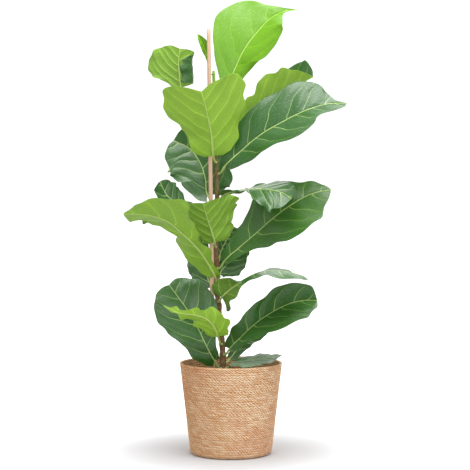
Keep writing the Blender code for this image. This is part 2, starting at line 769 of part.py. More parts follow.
def pot_profile():
    """The nursery pot's wall with its rolled lip, from the axis under the floor round to the axis inside."""
    lip_low = POT_TOP - POT_LIP_HEIGHT
    lip_share = POT_LIP_HEIGHT / (POT_TOP - POT_BOTTOM)
    lip_radius = POT_TOP_RADIUS - (POT_TOP_RADIUS - POT_BOTTOM_RADIUS) * lip_share
    return [
        (0.0, POT_BOTTOM),
        (POT_BOTTOM_RADIUS - 0.003, POT_BOTTOM),
        (POT_BOTTOM_RADIUS, POT_BOTTOM + 0.003),
        (lip_radius, lip_low),
        (lip_radius + POT_LIP_OUT, lip_low + 0.0005),
        (POT_TOP_RADIUS + POT_LIP_OUT, POT_TOP - 0.001),
        (POT_TOP_RADIUS + POT_LIP_OUT - 0.001, POT_TOP),
        (POT_TOP_RADIUS - POT_WALL, POT_TOP),
        (POT_BOTTOM_RADIUS - POT_WALL, POT_BOTTOM + POT_FLOOR + 0.003),
        (POT_BOTTOM_RADIUS - POT_WALL - 0.003, POT_BOTTOM + POT_FLOOR),
        (0.0, POT_BOTTOM + POT_FLOOR),
    ]


def pot_inner_radius(height):
    """The pot's inner radius at a height."""
    low = POT_BOTTOM + POT_FLOOR + 0.003
    share = (height - low) / (POT_TOP - low)
    inner_low = POT_BOTTOM_RADIUS - POT_WALL
    return inner_low + (POT_TOP_RADIUS - POT_WALL - inner_low) * share


def soil_profile():
    """The growing mix, which fills the pot and is heaped a little toward the stem."""
    low = POT_BOTTOM + POT_FLOOR + GAP
    return [
        (0.0, low),
        (pot_inner_radius(low + 0.003) - 0.004, low),
        (pot_inner_radius(low + 0.004) - 2 * GAP, low + 0.004),
        (pot_inner_radius(SOIL_TOP - SOIL_MOUND) - 2 * GAP, SOIL_TOP - SOIL_MOUND),
        (pot_inner_radius(SOIL_TOP) * 0.6, SOIL_TOP),
        (0.0, SOIL_TOP),
    ]


def tie_points(height):
    """A closed loop round the stem and the cane at a height above the crown."""
    stem = stem_at(height)
    share = height / CANE_TOP[2]
    cane = np.array(CANE_FOOT) * (1 - share) + np.array(CANE_TOP) * share
    reach_stem = stem_radius(height) + TIE_RADIUS + 2 * GAP
    reach_cane = CANE_RADIUS_LOW + TIE_RADIUS + 2 * GAP
    stem, cane = above_crown(stem), above_crown(cane)
    away = stem[:2] - cane[:2]
    heading = math.atan2(away[1], away[0])
    points = []
    for step in range(9):
        angle = heading - math.pi / 2 + math.pi * step / 8
        points.append(
            (stem[0] + reach_stem * math.cos(angle), stem[1] + reach_stem * math.sin(angle), stem[2])
        )
    for step in range(9):
        angle = heading + math.pi / 2 + math.pi * step / 8
        points.append(
            (cane[0] + reach_cane * math.cos(angle), cane[1] + reach_cane * math.sin(angle), stem[2])
        )
    return points


def build():
    """Makes every part."""
    start_clean()
    parts = new_collection("fiddle_leaf_fig")
    cutters = new_collection("cutters")

    cord = plain_material("basket_cord", (0.66, 0.42, 0.22), 0.8)
    plastic = plain_material("pot_plastic", (0.03, 0.03, 0.03), 0.5)
    mix = plain_material("growing_mix", (0.05, 0.03, 0.02), 0.95)
    bark = plain_material("stem_bark", (0.23, 0.16, 0.08), 0.7)
    cane_wood = plain_material("cane_wood", (0.72, 0.50, 0.34), 0.6)
    tie_plastic = plain_material("tie_plastic", (0.02, 0.10, 0.03), 0.5)
    dark_leaf = plain_material("leaf_mature", (0.03, 0.12, 0.03), 0.35)
    bright_leaf = plain_material("leaf_young", (0.20, 0.50, 0.02), 0.4)

    turned("basket", basket_profile(), cord, parts)

    pot = turned("nursery_pot", pot_profile(), plastic, parts)
    for number in range(POT_HOLE_COUNT):
        angle = math.tau * number / POT_HOLE_COUNT
        circle = POT_BOTTOM_RADIUS * POT_HOLE_CIRCLE
        place = (circle * math.cos(angle), circle * math.sin(angle))
        hole = cutter(
            f"drain_cutter_{number + 1}",
            POT_HOLE_RADIUS,
            POT_BOTTOM - 0.002,
            POT_BOTTOM + POT_FLOOR + 0.002,
            place,
            cutters,
        )
        cut(pot, hole)

    soil = turned("growing_mix", soil_profile(), mix, parts)
    foot = above_crown(stem_at(0.0))
    stub_low = SOIL_TOP - ROOT_STUB_DEPTH
    cut(
        soil,
        cutter(
            "stem_cutter",
            TRUNK_RADIUS_LOW + GAP,
            stub_low - GAP,
            SOIL_TOP + 0.01,
            foot,
            cutters,
        ),
    )
    cane_foot = above_crown(CANE_FOOT)
    cane_low = SOIL_TOP - CANE_DEPTH
    cut(
        soil,
        cutter(
            "cane_cutter",
            CANE_RADIUS_LOW + GAP,
            cane_low - GAP,
            SOIL_TOP + 0.01,
            cane_foot,
            cutters,
        ),
    )

    stem_points = [(foot[0], foot[1], stub_low)]
    stem_radii = [TRUNK_RADIUS_LOW * 0.98]
    for place in STEM_LINE:
        stem_points.append(tuple(above_crown(place)))
        stem_radii.append(stem_radius(place[2]))
    stem_points[1] = (foot[0], foot[1], SOIL_TOP + 0.006)
    stem_radii[1] = TRUNK_RADIUS_LOW * 0.98
    rod("stem", stem_points, stem_radii, bark, parts)

    cane_top = above_crown(CANE_TOP)
    cane_points = [
        (cane_foot[0], cane_foot[1], cane_low),
        (cane_foot[0], cane_foot[1], SOIL_TOP + 0.002),
        tuple(cane_top),
    ]
    rod(
        "support_cane",
        cane_points,
        [CANE_RADIUS_LOW * 0.98, CANE_RADIUS_LOW * 0.98, CANE_RADIUS_HIGH],
        cane_wood,
        parts,
    )

    for number, height in enumerate(TIE_HEIGHTS):
        loop = tie_points(height)
        rod(f"plant_tie_{number + 1}", loop, [TIE_RADIUS] * len(loop), tie_plastic, parts, cyclic=True)

    for leaf in LEAVES:
        young = leaf["name"] in ("leaf_01", "terminal_bud")
        make_leaf(leaf, bright_leaf if young else dark_leaf, parts)


build()
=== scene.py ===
"""Fiddle leaf fig in a coiled cord basket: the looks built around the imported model.

Lengths are in metres. Z is up, the basket stands on z = 0 and the front looks along -Y.
"""

import math

import bpy
import numpy as np
from bpy.props import FloatProperty, FloatVectorProperty, IntProperty, PointerProperty
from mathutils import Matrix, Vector


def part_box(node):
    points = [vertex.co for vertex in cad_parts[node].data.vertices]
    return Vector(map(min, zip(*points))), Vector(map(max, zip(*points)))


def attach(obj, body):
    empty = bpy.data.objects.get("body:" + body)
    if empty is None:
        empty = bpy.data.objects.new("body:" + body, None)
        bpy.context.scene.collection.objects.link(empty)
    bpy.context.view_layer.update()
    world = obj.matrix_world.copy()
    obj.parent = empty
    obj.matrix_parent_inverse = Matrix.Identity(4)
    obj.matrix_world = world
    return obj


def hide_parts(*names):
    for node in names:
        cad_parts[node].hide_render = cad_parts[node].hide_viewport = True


bl_info = {
    "name": "Fiddle leaf fig in a basket",
    "version": (1, 0, 0),
    "blender": (4, 5, 0),
    "location": "3D View > Sidebar > Fig",
    "description": "Builds a potted fiddle leaf fig with its coiled cord basket",
    "category": "Add Mesh",
}

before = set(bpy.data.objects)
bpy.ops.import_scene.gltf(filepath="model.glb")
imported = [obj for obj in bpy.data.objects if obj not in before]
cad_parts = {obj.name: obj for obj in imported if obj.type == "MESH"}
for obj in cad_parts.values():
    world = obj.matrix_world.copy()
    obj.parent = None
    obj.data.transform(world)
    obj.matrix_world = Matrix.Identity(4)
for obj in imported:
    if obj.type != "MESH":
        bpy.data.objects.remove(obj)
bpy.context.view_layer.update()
BASKET_LOW, BASKET_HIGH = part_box("basket")
MIX_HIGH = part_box("growing_mix")[1]
CANE_LOW, CANE_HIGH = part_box("support_cane")

BASKET_HEIGHT = BASKET_HIGH[2] - BASKET_LOW[2]
RIM_RADIUS = (BASKET_HIGH[0] - BASKET_LOW[0]) / 2
FOOT_RADIUS = RIM_RADIUS * 0.792
FOOT_ROUNDING = 0.010
SOIL_TOP = MIX_HIGH[2]
CROWN = SOIL_TOP + 0.004
TRUNK_RADIUS_LOW = 0.0072
TRUNK_RADIUS_HIGH = 0.0034
PETIOLE_DEPTH = 0.0042

# The basket's rows are made in bands, so that no piece has too many faces.
BASKET_BANDS = 5
STEPS_PER_STRAND = 12
ROW_STEPS_OUTSIDE = 6
ROW_STEPS_INSIDE = 3
CORD_SEED = 4

# The basket's floor: how far it stays inside the foot, how far a turn of its cord swells, the height of
# the grooves on its upper side, and the strands that each turn adds to the one inside it.
FLOOR_GAP = 0.0095
FLOOR_SWELL = 0.0016
FLOOR_TOP = 0.0044
FLOOR_STRANDS = 12
FLOOR_STEPS = 144

# A row's number is read a little high, so that its first point doesn't fall into the row below.
ROW_NUDGE = 0.0001
WELD_DISTANCE = 0.000005

# Bark chips stay this far inside the mix's edge and start this far under its top.
CHIP_MARGIN = 0.006
CHIP_SINK = 0.0012
CHIP_SEED = 7
CHIP_SQUEEZE = ((0.5, 0.35, 0.2), (1.5, 0.8, 0.5))
CHIP_TILT = ((-0.5, -0.5, 0.0), (0.5, 0.5, math.tau))

# The stem's middle line: x, y and the height above the crown.
STEM_LINE = (
    (-0.0185, 0.000, 0.000),
    (-0.0200, 0.001, 0.064),
    (-0.0240, 0.002, 0.110),
    (-0.0300, 0.003, 0.168),
    (-0.0340, 0.003, 0.226),
    (-0.0345, 0.002, 0.283),
    (-0.0330, 0.002, 0.364),
    (-0.0325, 0.003, 0.456),
    (-0.0355, 0.004, 0.548),
    (-0.0380, 0.004, 0.639),
    (-0.0400, 0.003, 0.698),
)
STEM_HEIGHT = STEM_LINE[-1][2]
ROOT_DEPTH = 0.055
STEM_SIDES = 24
STEM_STEPS = 30

# Where a leaf joins the stem: a swelling, and a thin dip this far above it. Each has its size and reach.
JOINT_SWELL = (0.0009, 0.0045)
JOINT_DIP = (0.0004, 0.002)
JOINT_DIP_RISE = 0.008
STEM_WOBBLE = 0.00025
STEM_END = 0.004
CANE_FOOT = (-0.0410, -0.0110, 0.000)
CANE_TOP = (-0.0510, -0.0120, 0.792)
CANE_STEPS = 120
CANE_SIDES = 28
CANE_BEVEL = 0.0006

# Papery scales: height above the crown, heading, length and how far the tip leans out.
SCALES = (
    (0.452, -1.2, 0.020, 0.004),
    (0.404, -0.9, 0.022, 0.005),
    (0.298, -1.6, 0.018, 0.003),
    (0.250, -1.0, 0.020, 0.004),
    (0.190, -2.0, 0.018, 0.003),
    (0.150, -1.2, 0.020, 0.004),
    (0.088, -1.7, 0.016, 0.003),
    (0.648, -0.6, 0.018, 0.003),
)
SCALE_ROWS = 12
SCALE_COLUMNS = 8
SCALE_THICKNESS = 0.0003
SCALE_GAP = 0.0009

# How a leaf is drawn flat. Each row runs from the midrib to the edge beside a side vein.
# Columns: place on the midrib, place of the row's outer end, half width there in a broad leaf, and how
# much narrower a waisted leaf is there.
LEAF_ROWS = (
    (0.00, -0.030, 0.30, 0.10),
    (0.06, 0.030, 0.54, 0.20),
    (0.14, 0.140, 0.64, 0.26),
    (0.24, 0.285, 0.71, 0.28),
    (0.35, 0.440, 0.80, 0.20),
    (0.47, 0.600, 0.94, 0.06),
    (0.58, 0.735, 1.00, 0.00),
    (0.69, 0.850, 0.98, 0.04),
    (0.80, 0.930, 0.84, 0.08),
    (0.90, 0.980, 0.54, 0.08),
    (0.97, 1.000, 0.22, 0.04),
    (1.00, 1.000, 0.00, 0.00),
)
ROW_BEND = 1.3
ROW_SPREAD = 0.9
BLADE_ROWS = 101
BLADE_COLUMNS = 73

# The stalk's radius, how much its foot swells and over what reach, and the radius of the rib that goes on
# from it, at the blade's base and at its tip.
STALK_RADIUS = 0.0024
STALK_FOOT = (0.35, 0.006)
RIB_RADIUS = 0.0023
RIB_TIP = 0.0003
BUD_STALK = 0.5
PETIOLE_SIDES = 14
LINE_STEPS = 24

# How much of a midrib's length counts against a width where an edge's points are spaced out.
EDGE_STRETCH = 0.2
# Half the distance over which a midrib's direction is read.
DIRECTION_STEP = 0.004
# Half width of the groove over a vein and over the midrib, and the depth of the midrib's.
GROOVE_REACH = 0.0022
MIDRIB_DEPTH = 0.0006

# Leaves from the top down. Points run along the midrib from the blade's base to its tip, as x, y and
# the height above the crown. joint is the height where the stalk leaves the stem. face is the way the
# upper side looks at the base and at the tip, and turn is where along the blade it changes from one to
# the other. widths, folds, curls and edges hold the right half and then the left half, seen on the
# upper side with the tip up. A fold is the half's rise at the midrib in degrees, and a curl is what it
# gains by the edge. Each point of an edge has its share of the midrib and its distance from it. A leaf
# without edges takes LEAF_ROWS, where waist narrows the lower part of each half and lobe carries the
# upper corners past the tip.
LEAVES = (
    dict(
        name="leaf_01", joint=0.640, widths=(0.076, 0.092), folds=(36, 4), curls=(14, 4),
        face=((0.10, -1.00, 0.10), (-0.20, -0.90, 0.40)),
        edges=(
            ((0.02, 0.016), (0.24, 0.046), (0.40, 0.084), (0.56, 0.096), (0.72, 0.092), (0.80, 0.050),
             (0.88, 0.008)),
            ((-0.02, 0.016), (0.20, 0.054), (0.35, 0.082), (0.45, 0.096), (0.57, 0.094), (0.68, 0.074),
             (0.77, 0.036), (0.86, 0.010)),
        ),
        line=((-0.008, 0.028, 0.664), (0.009, 0.036, 0.705), (0.032, 0.042, 0.752), (0.060, 0.050, 0.790),
              (0.093, 0.056, 0.824), (0.123, 0.056, 0.840), (0.158, 0.050, 0.843)),
    ),
    dict(
        name="leaf_02", joint=0.598, widths=(0.072, 0.090), folds=(12, 10), curls=(-14, -186),
        face=((0.00, 1.00, 0.00), (0.00, 1.00, 0.10)),
        edges=(
            ((0.02, 0.014), (0.17, 0.032), (0.27, 0.049), (0.44, 0.068), (0.60, 0.070), (0.84, 0.060),
             (0.97, 0.044), (1.05, 0.022)),
            ((-0.05, 0.050), (0.02, 0.084), (0.22, 0.090), (0.60, 0.088), (0.82, 0.074), (0.95, 0.046),
             (1.01, 0.018)),
        ),
        line=((-0.115, 0.022, 0.661), (-0.119, 0.022, 0.690), (-0.121, 0.022, 0.720),
              (-0.117, 0.020, 0.750)),
    ),
    dict(
        name="leaf_03", joint=0.488, widths=(0.102, 0.098), folds=(16, 14), curls=(8, 6),
        face=((0.00, 0.95, 0.10), (0.00, 0.90, 0.45)),
        edges=(
            ((-0.02, 0.020), (0.10, 0.050), (0.25, 0.056), (0.46, 0.072), (0.66, 0.096), (0.92, 0.100),
             (1.10, 0.080), (1.07, 0.030)),
            ((-0.02, 0.022), (0.08, 0.046), (0.28, 0.061), (0.48, 0.076), (0.69, 0.090), (0.89, 0.098),
             (1.08, 0.088), (1.09, 0.040)),
        ),
        line=((-0.040, -0.040, 0.502), (-0.044, -0.070, 0.549), (-0.054, -0.100, 0.600),
              (-0.065, -0.122, 0.643)),
    ),
    dict(
        name="leaf_04", joint=0.545, widths=(0.054, 0.068), folds=(60, 58), curls=(8, 6),
        face=((-0.35, 0.10, 0.95), (-0.20, -0.25, 1.00)),
        edges=(
            ((-0.02, 0.010), (0.15, 0.026), (0.30, 0.040), (0.46, 0.055), (0.56, 0.065), (0.76, 0.061),
             (0.93, 0.028)),
            ((-0.02, 0.010), (0.20, 0.022), (0.45, 0.032), (0.68, 0.038), (0.84, 0.050), (0.94, 0.052),
             (1.02, 0.024)),
        ),
        line=((-0.002, 0.022, 0.563), (0.044, 0.032, 0.594), (0.102, 0.038, 0.633), (0.155, 0.038, 0.668),
              (0.190, 0.030, 0.686)),
    ),
    dict(
        name="leaf_05", joint=0.462, widths=(0.076, 0.078), folds=(28, 4), curls=(12, -6),
        face=((0.10, -0.95, 0.30), (-0.20, -0.85, 0.50)),
        edges=(
            ((-0.02, 0.012), (0.18, 0.040), (0.31, 0.050), (0.45, 0.066), (0.61, 0.088), (0.70, 0.078),
             (0.76, 0.046), (0.90, 0.034), (0.97, 0.018)),
            ((-0.02, 0.010), (0.08, 0.030), (0.20, 0.050), (0.31, 0.058), (0.44, 0.068), (0.61, 0.076),
             (0.75, 0.074), (0.84, 0.054), (0.88, 0.024), (0.94, 0.006)),
        ),
        line=((-0.012, -0.026, 0.482), (0.021, -0.035, 0.512), (0.057, -0.043, 0.543),
              (0.122, -0.053, 0.582), (0.178, -0.058, 0.608), (0.217, -0.055, 0.619),
              (0.262, -0.050, 0.622)),
    ),
    dict(
        name="leaf_06", joint=0.398, widths=(0.064, 0.072), folds=(14, 8), curls=(0, -10),
        face=((0.05, -1.00, 0.15), (0.10, -0.90, 0.30)),
        edges=(
            ((-0.08, 0.024), (-0.06, 0.046), (0.10, 0.058), (0.30, 0.062), (0.60, 0.064), (0.85, 0.050),
             (0.98, 0.024)),
            ((-0.08, 0.010), (-0.02, 0.024), (0.08, 0.042), (0.31, 0.068), (0.60, 0.076), (0.89, 0.070),
             (1.01, 0.044), (1.03, 0.014)),
        ),
        line=((-0.054, 0.018, 0.413), (-0.060, 0.030, 0.453), (-0.073, 0.042, 0.490),
              (-0.098, 0.050, 0.522), (-0.134, 0.050, 0.540)),
    ),
    dict(
        name="leaf_07", joint=0.402, widths=(0.058, 0.052), folds=(-10, -6), curls=(-18, 0),
        face=((-0.10, 0.80, 0.55), (0.30, -0.68, 0.68)), turn=(0.0, 0.55),
        edges=(
            ((-0.02, 0.010), (0.12, 0.012), (0.30, 0.012), (0.45, 0.018), (0.58, 0.037), (0.73, 0.053),
             (0.90, 0.056), (0.99, 0.032)),
            ((-0.02, 0.010), (0.15, 0.010), (0.30, 0.012), (0.42, 0.026), (0.58, 0.046), (0.76, 0.054),
             (0.88, 0.044), (0.96, 0.020)),
        ),
        line=((-0.019, -0.016, 0.412), (0.016, -0.040, 0.425), (0.050, -0.068, 0.428),
              (0.090, -0.090, 0.426), (0.116, -0.100, 0.419), (0.135, -0.108, 0.406)),
    ),
    dict(
        name="leaf_08", joint=0.335, widths=(0.034, 0.036), folds=(34, -10), curls=(4, 6),
        face=((0.20, -0.40, 0.90), (0.60, -0.50, 0.60)), waist=(0.5, 0.5),
        line=((-0.056, 0.016, 0.349), (-0.088, 0.014, 0.370), (-0.122, 0.011, 0.390),
              (-0.148, 0.007, 0.414), (-0.164, 0.002, 0.444)),
    ),
    dict(
        name="leaf_09", joint=0.294, widths=(0.056, 0.080), folds=(10, 14), curls=(6, 6),
        face=((0.00, 0.90, 0.20), (0.00, 0.85, 0.50)), lobe=0.06, waist=(0.3, 0.3),
        line=((-0.037, -0.028, 0.306), (-0.046, -0.046, 0.338), (-0.057, -0.068, 0.374),
              (-0.062, -0.084, 0.396)),
    ),
    dict(
        name="leaf_10", joint=0.212, widths=(0.076, 0.072), folds=(12, 6), curls=(8, 4),
        face=((0.10, 0.75, 0.60), (0.00, 0.50, 0.85)),
        edges=(
            ((-0.02, 0.014), (0.15, 0.042), (0.32, 0.050), (0.42, 0.042), (0.52, 0.024), (0.62, 0.044),
             (0.74, 0.066), (0.84, 0.084), (0.94, 0.046)),
            ((-0.02, 0.012), (0.15, 0.015), (0.30, 0.019), (0.44, 0.029), (0.54, 0.041), (0.61, 0.058),
             (0.67, 0.074), (0.75, 0.066), (0.84, 0.058), (0.93, 0.034)),
        ),
        line=((-0.036, -0.030, 0.228), (-0.052, -0.050, 0.260), (-0.078, -0.082, 0.299),
              (-0.111, -0.115, 0.333), (-0.139, -0.135, 0.357), (-0.177, -0.150, 0.370),
              (-0.235, -0.165, 0.374)),
    ),
    dict(
        name="leaf_11", joint=0.245, widths=(0.070, 0.056), folds=(12, 8), curls=(6, -6),
        face=((-0.25, -0.90, 0.30), (-0.20, -0.85, 0.50)),
        edges=(
            ((-0.02, 0.010), (0.11, 0.019), (0.26, 0.034), (0.36, 0.052), (0.49, 0.080), (0.60, 0.090),
             (0.72, 0.087), (0.82, 0.074), (0.92, 0.042), (0.97, 0.018)),
            ((-0.02, 0.010), (0.12, 0.027), (0.24, 0.037), (0.42, 0.057), (0.52, 0.070), (0.69, 0.066),
             (0.82, 0.038), (0.91, 0.022), (0.97, 0.012)),
        ),
        line=((-0.016, -0.018, 0.262), (0.021, -0.031, 0.296), (0.056, -0.037, 0.326),
              (0.093, -0.041, 0.359), (0.136, -0.041, 0.391), (0.182, -0.036, 0.416),
              (0.228, -0.028, 0.427)),
    ),
    dict(
        name="leaf_12", joint=0.262, widths=(0.034, 0.030), folds=(12, 12), curls=(0, 0),
        face=((0.00, -0.95, 0.30), (0.10, -0.80, 0.60)), waist=(0.2, 0.2),
        line=((-0.026, 0.014, 0.274), (-0.018, 0.018, 0.295), (-0.005, 0.022, 0.318), (0.007, 0.026, 0.340)),
    ),
    dict(
        name="leaf_13", joint=0.216, widths=(0.044, 0.044), folds=(8, 10), curls=(-6, 0),
        face=((0.00, -1.00, 0.10), (0.00, -0.90, 0.40)),
        edges=(
            ((-0.06, 0.010), (0.17, 0.034), (0.34, 0.039), (0.50, 0.036), (0.68, 0.030), (0.88, 0.018)),
            ((-0.04, 0.010), (0.17, 0.034), (0.40, 0.040), (0.70, 0.034), (0.90, 0.018)),
        ),
        line=((-0.026, 0.018, 0.230), (-0.005, 0.036, 0.258), (0.015, 0.050, 0.288), (0.030, 0.060, 0.318)),
    ),
    dict(
        name="leaf_14", joint=0.185, widths=(0.044, 0.038), folds=(-14, 20), curls=(-6, 0),
        face=((0.10, -1.00, 0.10), (0.10, -0.90, 0.30)),
        edges=(
            ((-0.02, 0.016), (0.20, 0.030), (0.50, 0.038), (0.75, 0.034), (0.92, 0.018)),
            ((-0.02, 0.020), (0.17, 0.034), (0.33, 0.041), (0.51, 0.034), (0.70, 0.030), (0.90, 0.016)),
        ),
        line=((-0.046, 0.022, 0.200), (-0.059, 0.044, 0.231), (-0.076, 0.062, 0.268),
              (-0.090, 0.074, 0.300), (-0.098, 0.082, 0.330)),
    ),
    dict(
        name="leaf_15", joint=0.168, widths=(0.050, 0.070), folds=(-4, -10), curls=(-6, 0),
        face=((0.20, 0.95, 0.25), (0.05, -0.16, 1.00)), turn=(0.08, 0.4),
        edges=(
            ((-0.02, 0.020), (0.06, 0.036), (0.14, 0.036), (0.24, 0.024), (0.36, 0.030), (0.55, 0.040),
             (0.75, 0.044), (0.92, 0.024)),
            ((-0.11, 0.028), (-0.05, 0.032), (0.03, 0.024), (0.12, 0.018), (0.22, 0.018), (0.36, 0.032),
             (0.60, 0.046), (0.78, 0.044), (0.93, 0.022)),
        ),
        line=((-0.021, -0.026, 0.180), (0.007, -0.046, 0.207), (0.034, -0.065, 0.227),
              (0.056, -0.085, 0.239), (0.085, -0.105, 0.246), (0.116, -0.120, 0.246),
              (0.144, -0.128, 0.240), (0.173, -0.130, 0.227)),
    ),
    dict(
        name="leaf_16", joint=0.070, widths=(0.060, 0.026), folds=(12, 22), curls=(6, 6),
        face=((0.10, 0.80, 0.50), (0.00, 0.60, 0.80)),
        edges=(
            ((-0.02, 0.014), (0.05, 0.028), (0.14, 0.040), (0.28, 0.046), (0.46, 0.045), (0.66, 0.042),
             (0.83, 0.016), (0.93, 0.006)),
            ((-0.02, 0.022), (0.11, 0.031), (0.22, 0.033), (0.36, 0.031), (0.50, 0.022), (0.66, 0.014),
             (0.82, 0.008)),
        ),
        line=((-0.029, -0.054, 0.093), (-0.037, -0.080, 0.118), (-0.054, -0.104, 0.139),
              (-0.084, -0.122, 0.150), (-0.117, -0.132, 0.155), (-0.150, -0.136, 0.171)),
    ),
    dict(
        name="leaf_17", joint=0.014, widths=(0.074, 0.066), folds=(14, 8), curls=(0, -10),
        face=((0.05, -0.90, 0.40), (0.10, -0.65, 0.70)),
        edges=(
            ((-0.02, 0.012), (0.12, 0.020), (0.28, 0.034), (0.42, 0.054), (0.60, 0.067), (0.77, 0.068),
             (0.88, 0.060), (0.97, 0.042), (1.02, 0.018)),
            ((-0.06, 0.010), (0.10, 0.036), (0.21, 0.044), (0.34, 0.054), (0.48, 0.065), (0.60, 0.076),
             (0.72, 0.077), (0.83, 0.070), (0.93, 0.050), (1.00, 0.024)),
        ),
        line=((-0.038, -0.030, 0.036), (-0.053, -0.038, 0.064), (-0.076, -0.040, 0.112),
              (-0.098, -0.036, 0.150), (-0.121, -0.028, 0.181), (-0.142, -0.016, 0.208)),
    ),
    dict(
        name="leaf_18", joint=0.046, widths=(0.080, 0.046), folds=(26, 54), curls=(8, 4),
        face=((-0.25, -0.85, 0.45), (-0.20, -0.75, 0.60)),
        edges=(
            ((-0.02, 0.010), (0.18, 0.032), (0.32, 0.050), (0.47, 0.074), (0.62, 0.098), (0.76, 0.092),
             (0.89, 0.064), (0.97, 0.034)),
            ((-0.02, 0.012), (0.10, 0.024), (0.25, 0.031), (0.48, 0.040), (0.69, 0.048), (0.80, 0.047),
             (0.90, 0.038), (0.97, 0.020)),
        ),
        line=((-0.004, -0.026, 0.062), (0.019, -0.041, 0.087), (0.061, -0.055, 0.127),
              (0.090, -0.060, 0.147), (0.122, -0.060, 0.164), (0.161, -0.056, 0.175),
              (0.196, -0.050, 0.175)),
    ),
    dict(
        name="leaf_19", joint=0.026, widths=(0.028, 0.024), folds=(8, 8), curls=(0, 0),
        face=((0.00, -1.00, 0.10), (0.00, -0.90, 0.40)), waist=(0.4, 0.4),
        line=((-0.001, 0.018, 0.036), (0.021, 0.030, 0.062), (0.053, 0.044, 0.094), (0.075, 0.054, 0.117),
              (0.088, 0.060, 0.131)),
    ),
    dict(
        name="leaf_20", joint=0.014, widths=(0.056, 0.058), folds=(4, 4), curls=(-12, -10),
        face=((0.00, -0.12, 1.00), (0.00, -0.16, 1.00)),
        edges=(
            ((-0.04, 0.014), (0.12, 0.040), (0.35, 0.056), (0.60, 0.054), (0.82, 0.036), (0.93, 0.016)),
            ((-0.04, 0.012), (0.10, 0.034), (0.25, 0.044), (0.45, 0.043), (0.69, 0.030), (0.88, 0.012)),
        ),
        line=((0.002, -0.018, 0.027), (0.032, -0.024, 0.034), (0.071, -0.030, 0.041),
              (0.118, -0.030, 0.048)),
    ),
    dict(
        name="terminal_bud", joint=0.690, widths=(0.012, 0.011), folds=(30, 34), curls=(10, 10),
        face=((0.00, -1.00, 0.10), (0.00, -0.90, 0.40)),
        edges=(
            ((0.02, 0.003), (0.25, 0.006), (0.55, 0.012), (0.75, 0.011), (0.90, 0.006)),
            ((0.02, 0.003), (0.25, 0.006), (0.52, 0.011), (0.72, 0.010), (0.90, 0.005)),
        ),
        line=((-0.050, 0.006, 0.712), (-0.056, 0.006, 0.736), (-0.064, 0.005, 0.758),
              (-0.077, 0.004, 0.782)),
    ),
)

# How a leaf looks: how young each side is, from 0, dark and old, to 1, fresh and bright (upper side,
# then underside), how far the blade puffs up between its veins and how much its edge waves, in metres,
# and how many side veins it has. The upper sides of leaf_11, leaf_17 and leaf_18 are given more than
# their age: their paler colour is partly painted sheen.
LEAF_LOOKS = {
    "leaf_01": (0.90, 0.90, 0.0012, 0.0010, 5),
    "leaf_02": (0.05, 0.45, 0.0006, 0.0014, 5),
    "leaf_03": (0.30, 0.62, 0.0008, 0.0024, 5),
    "leaf_04": (0.10, 0.60, 0.0010, 0.0038, 6),
    "leaf_05": (0.06, 0.30, 0.0018, 0.0016, 6.5),
    "leaf_06": (0.10, 0.30, 0.0008, 0.0020, 5),
    "leaf_07": (0.08, 0.12, 0.0009, 0.0030, 7),
    "leaf_08": (0.05, 0.30, 0.0014, 0.0020, 6),
    "leaf_09": (0.20, 0.50, 0.0012, 0.0028, 5),
    "leaf_10": (0.20, 0.52, 0.0008, 0.0042, 6),
    "leaf_11": (0.26, 0.30, 0.0012, 0.0018, 6),
    "leaf_12": (0.04, 0.30, 0.0012, 0.0010, 5),
    "leaf_13": (0.12, 0.30, 0.0012, 0.0012, 5),
    "leaf_14": (0.06, 0.30, 0.0012, 0.0014, 5),
    "leaf_15": (0.14, 0.30, 0.0008, 0.0030, 7),
    "leaf_16": (0.25, 0.66, 0.0012, 0.0030, 6),
    "leaf_17": (0.13, 0.30, 0.0018, 0.0016, 5.5),
    "leaf_18": (0.18, 0.30, 0.0016, 0.0016, 6),
    "leaf_19": (0.06, 0.30, 0.0010, 0.0010, 5),
    "leaf_20": (0.18, 0.30, 0.0005, 0.0012, 5),
    "terminal_bud": (1.25, 1.20, 0.0002, 0.0003, 5),
}

# Colours that no setting changes. A pair is dark and pale.
RIB_YOUNG = (0.52, 0.66, 0.17)
CORD_BLUSH = (0.72, 0.34, 0.20)
# Painted shade laid over the basket's left side.
CORD_LEFT_SHADE = (0.86, 0.74, 0.62)
SHOOT_GREEN = (0.22, 0.40, 0.03)
CANE_BLUSH = (0.80, 0.47, 0.36)
CANE_SPECK = (0.30, 0.16, 0.09)
POT_COLOURS = ((0.012, 0.012, 0.013), (0.050, 0.046, 0.042))
MIX_COLOURS = ((0.018, 0.010, 0.006), (0.075, 0.040, 0.020))
CHIP_COLOURS = ((0.035, 0.018, 0.010), (0.16, 0.085, 0.042))
TIE_COLOURS = ((0.020, 0.075, 0.022), (0.040, 0.120, 0.036))
PAPER_COLOURS = ((0.10, 0.045, 0.020), (0.34, 0.19, 0.09))
FLOOR_GREY = (0.57, 0.57, 0.58)
WHITE = (1.0, 1.0, 1.0)


def size(name, description, value):
    """A length that the user can change."""
    return FloatProperty(name=name, description=description, default=value, unit="LENGTH")


def tint(name, description, value):
    """A colour that the user can change."""
    return FloatVectorProperty(name=name, description=description, default=value, subtype="COLOR")


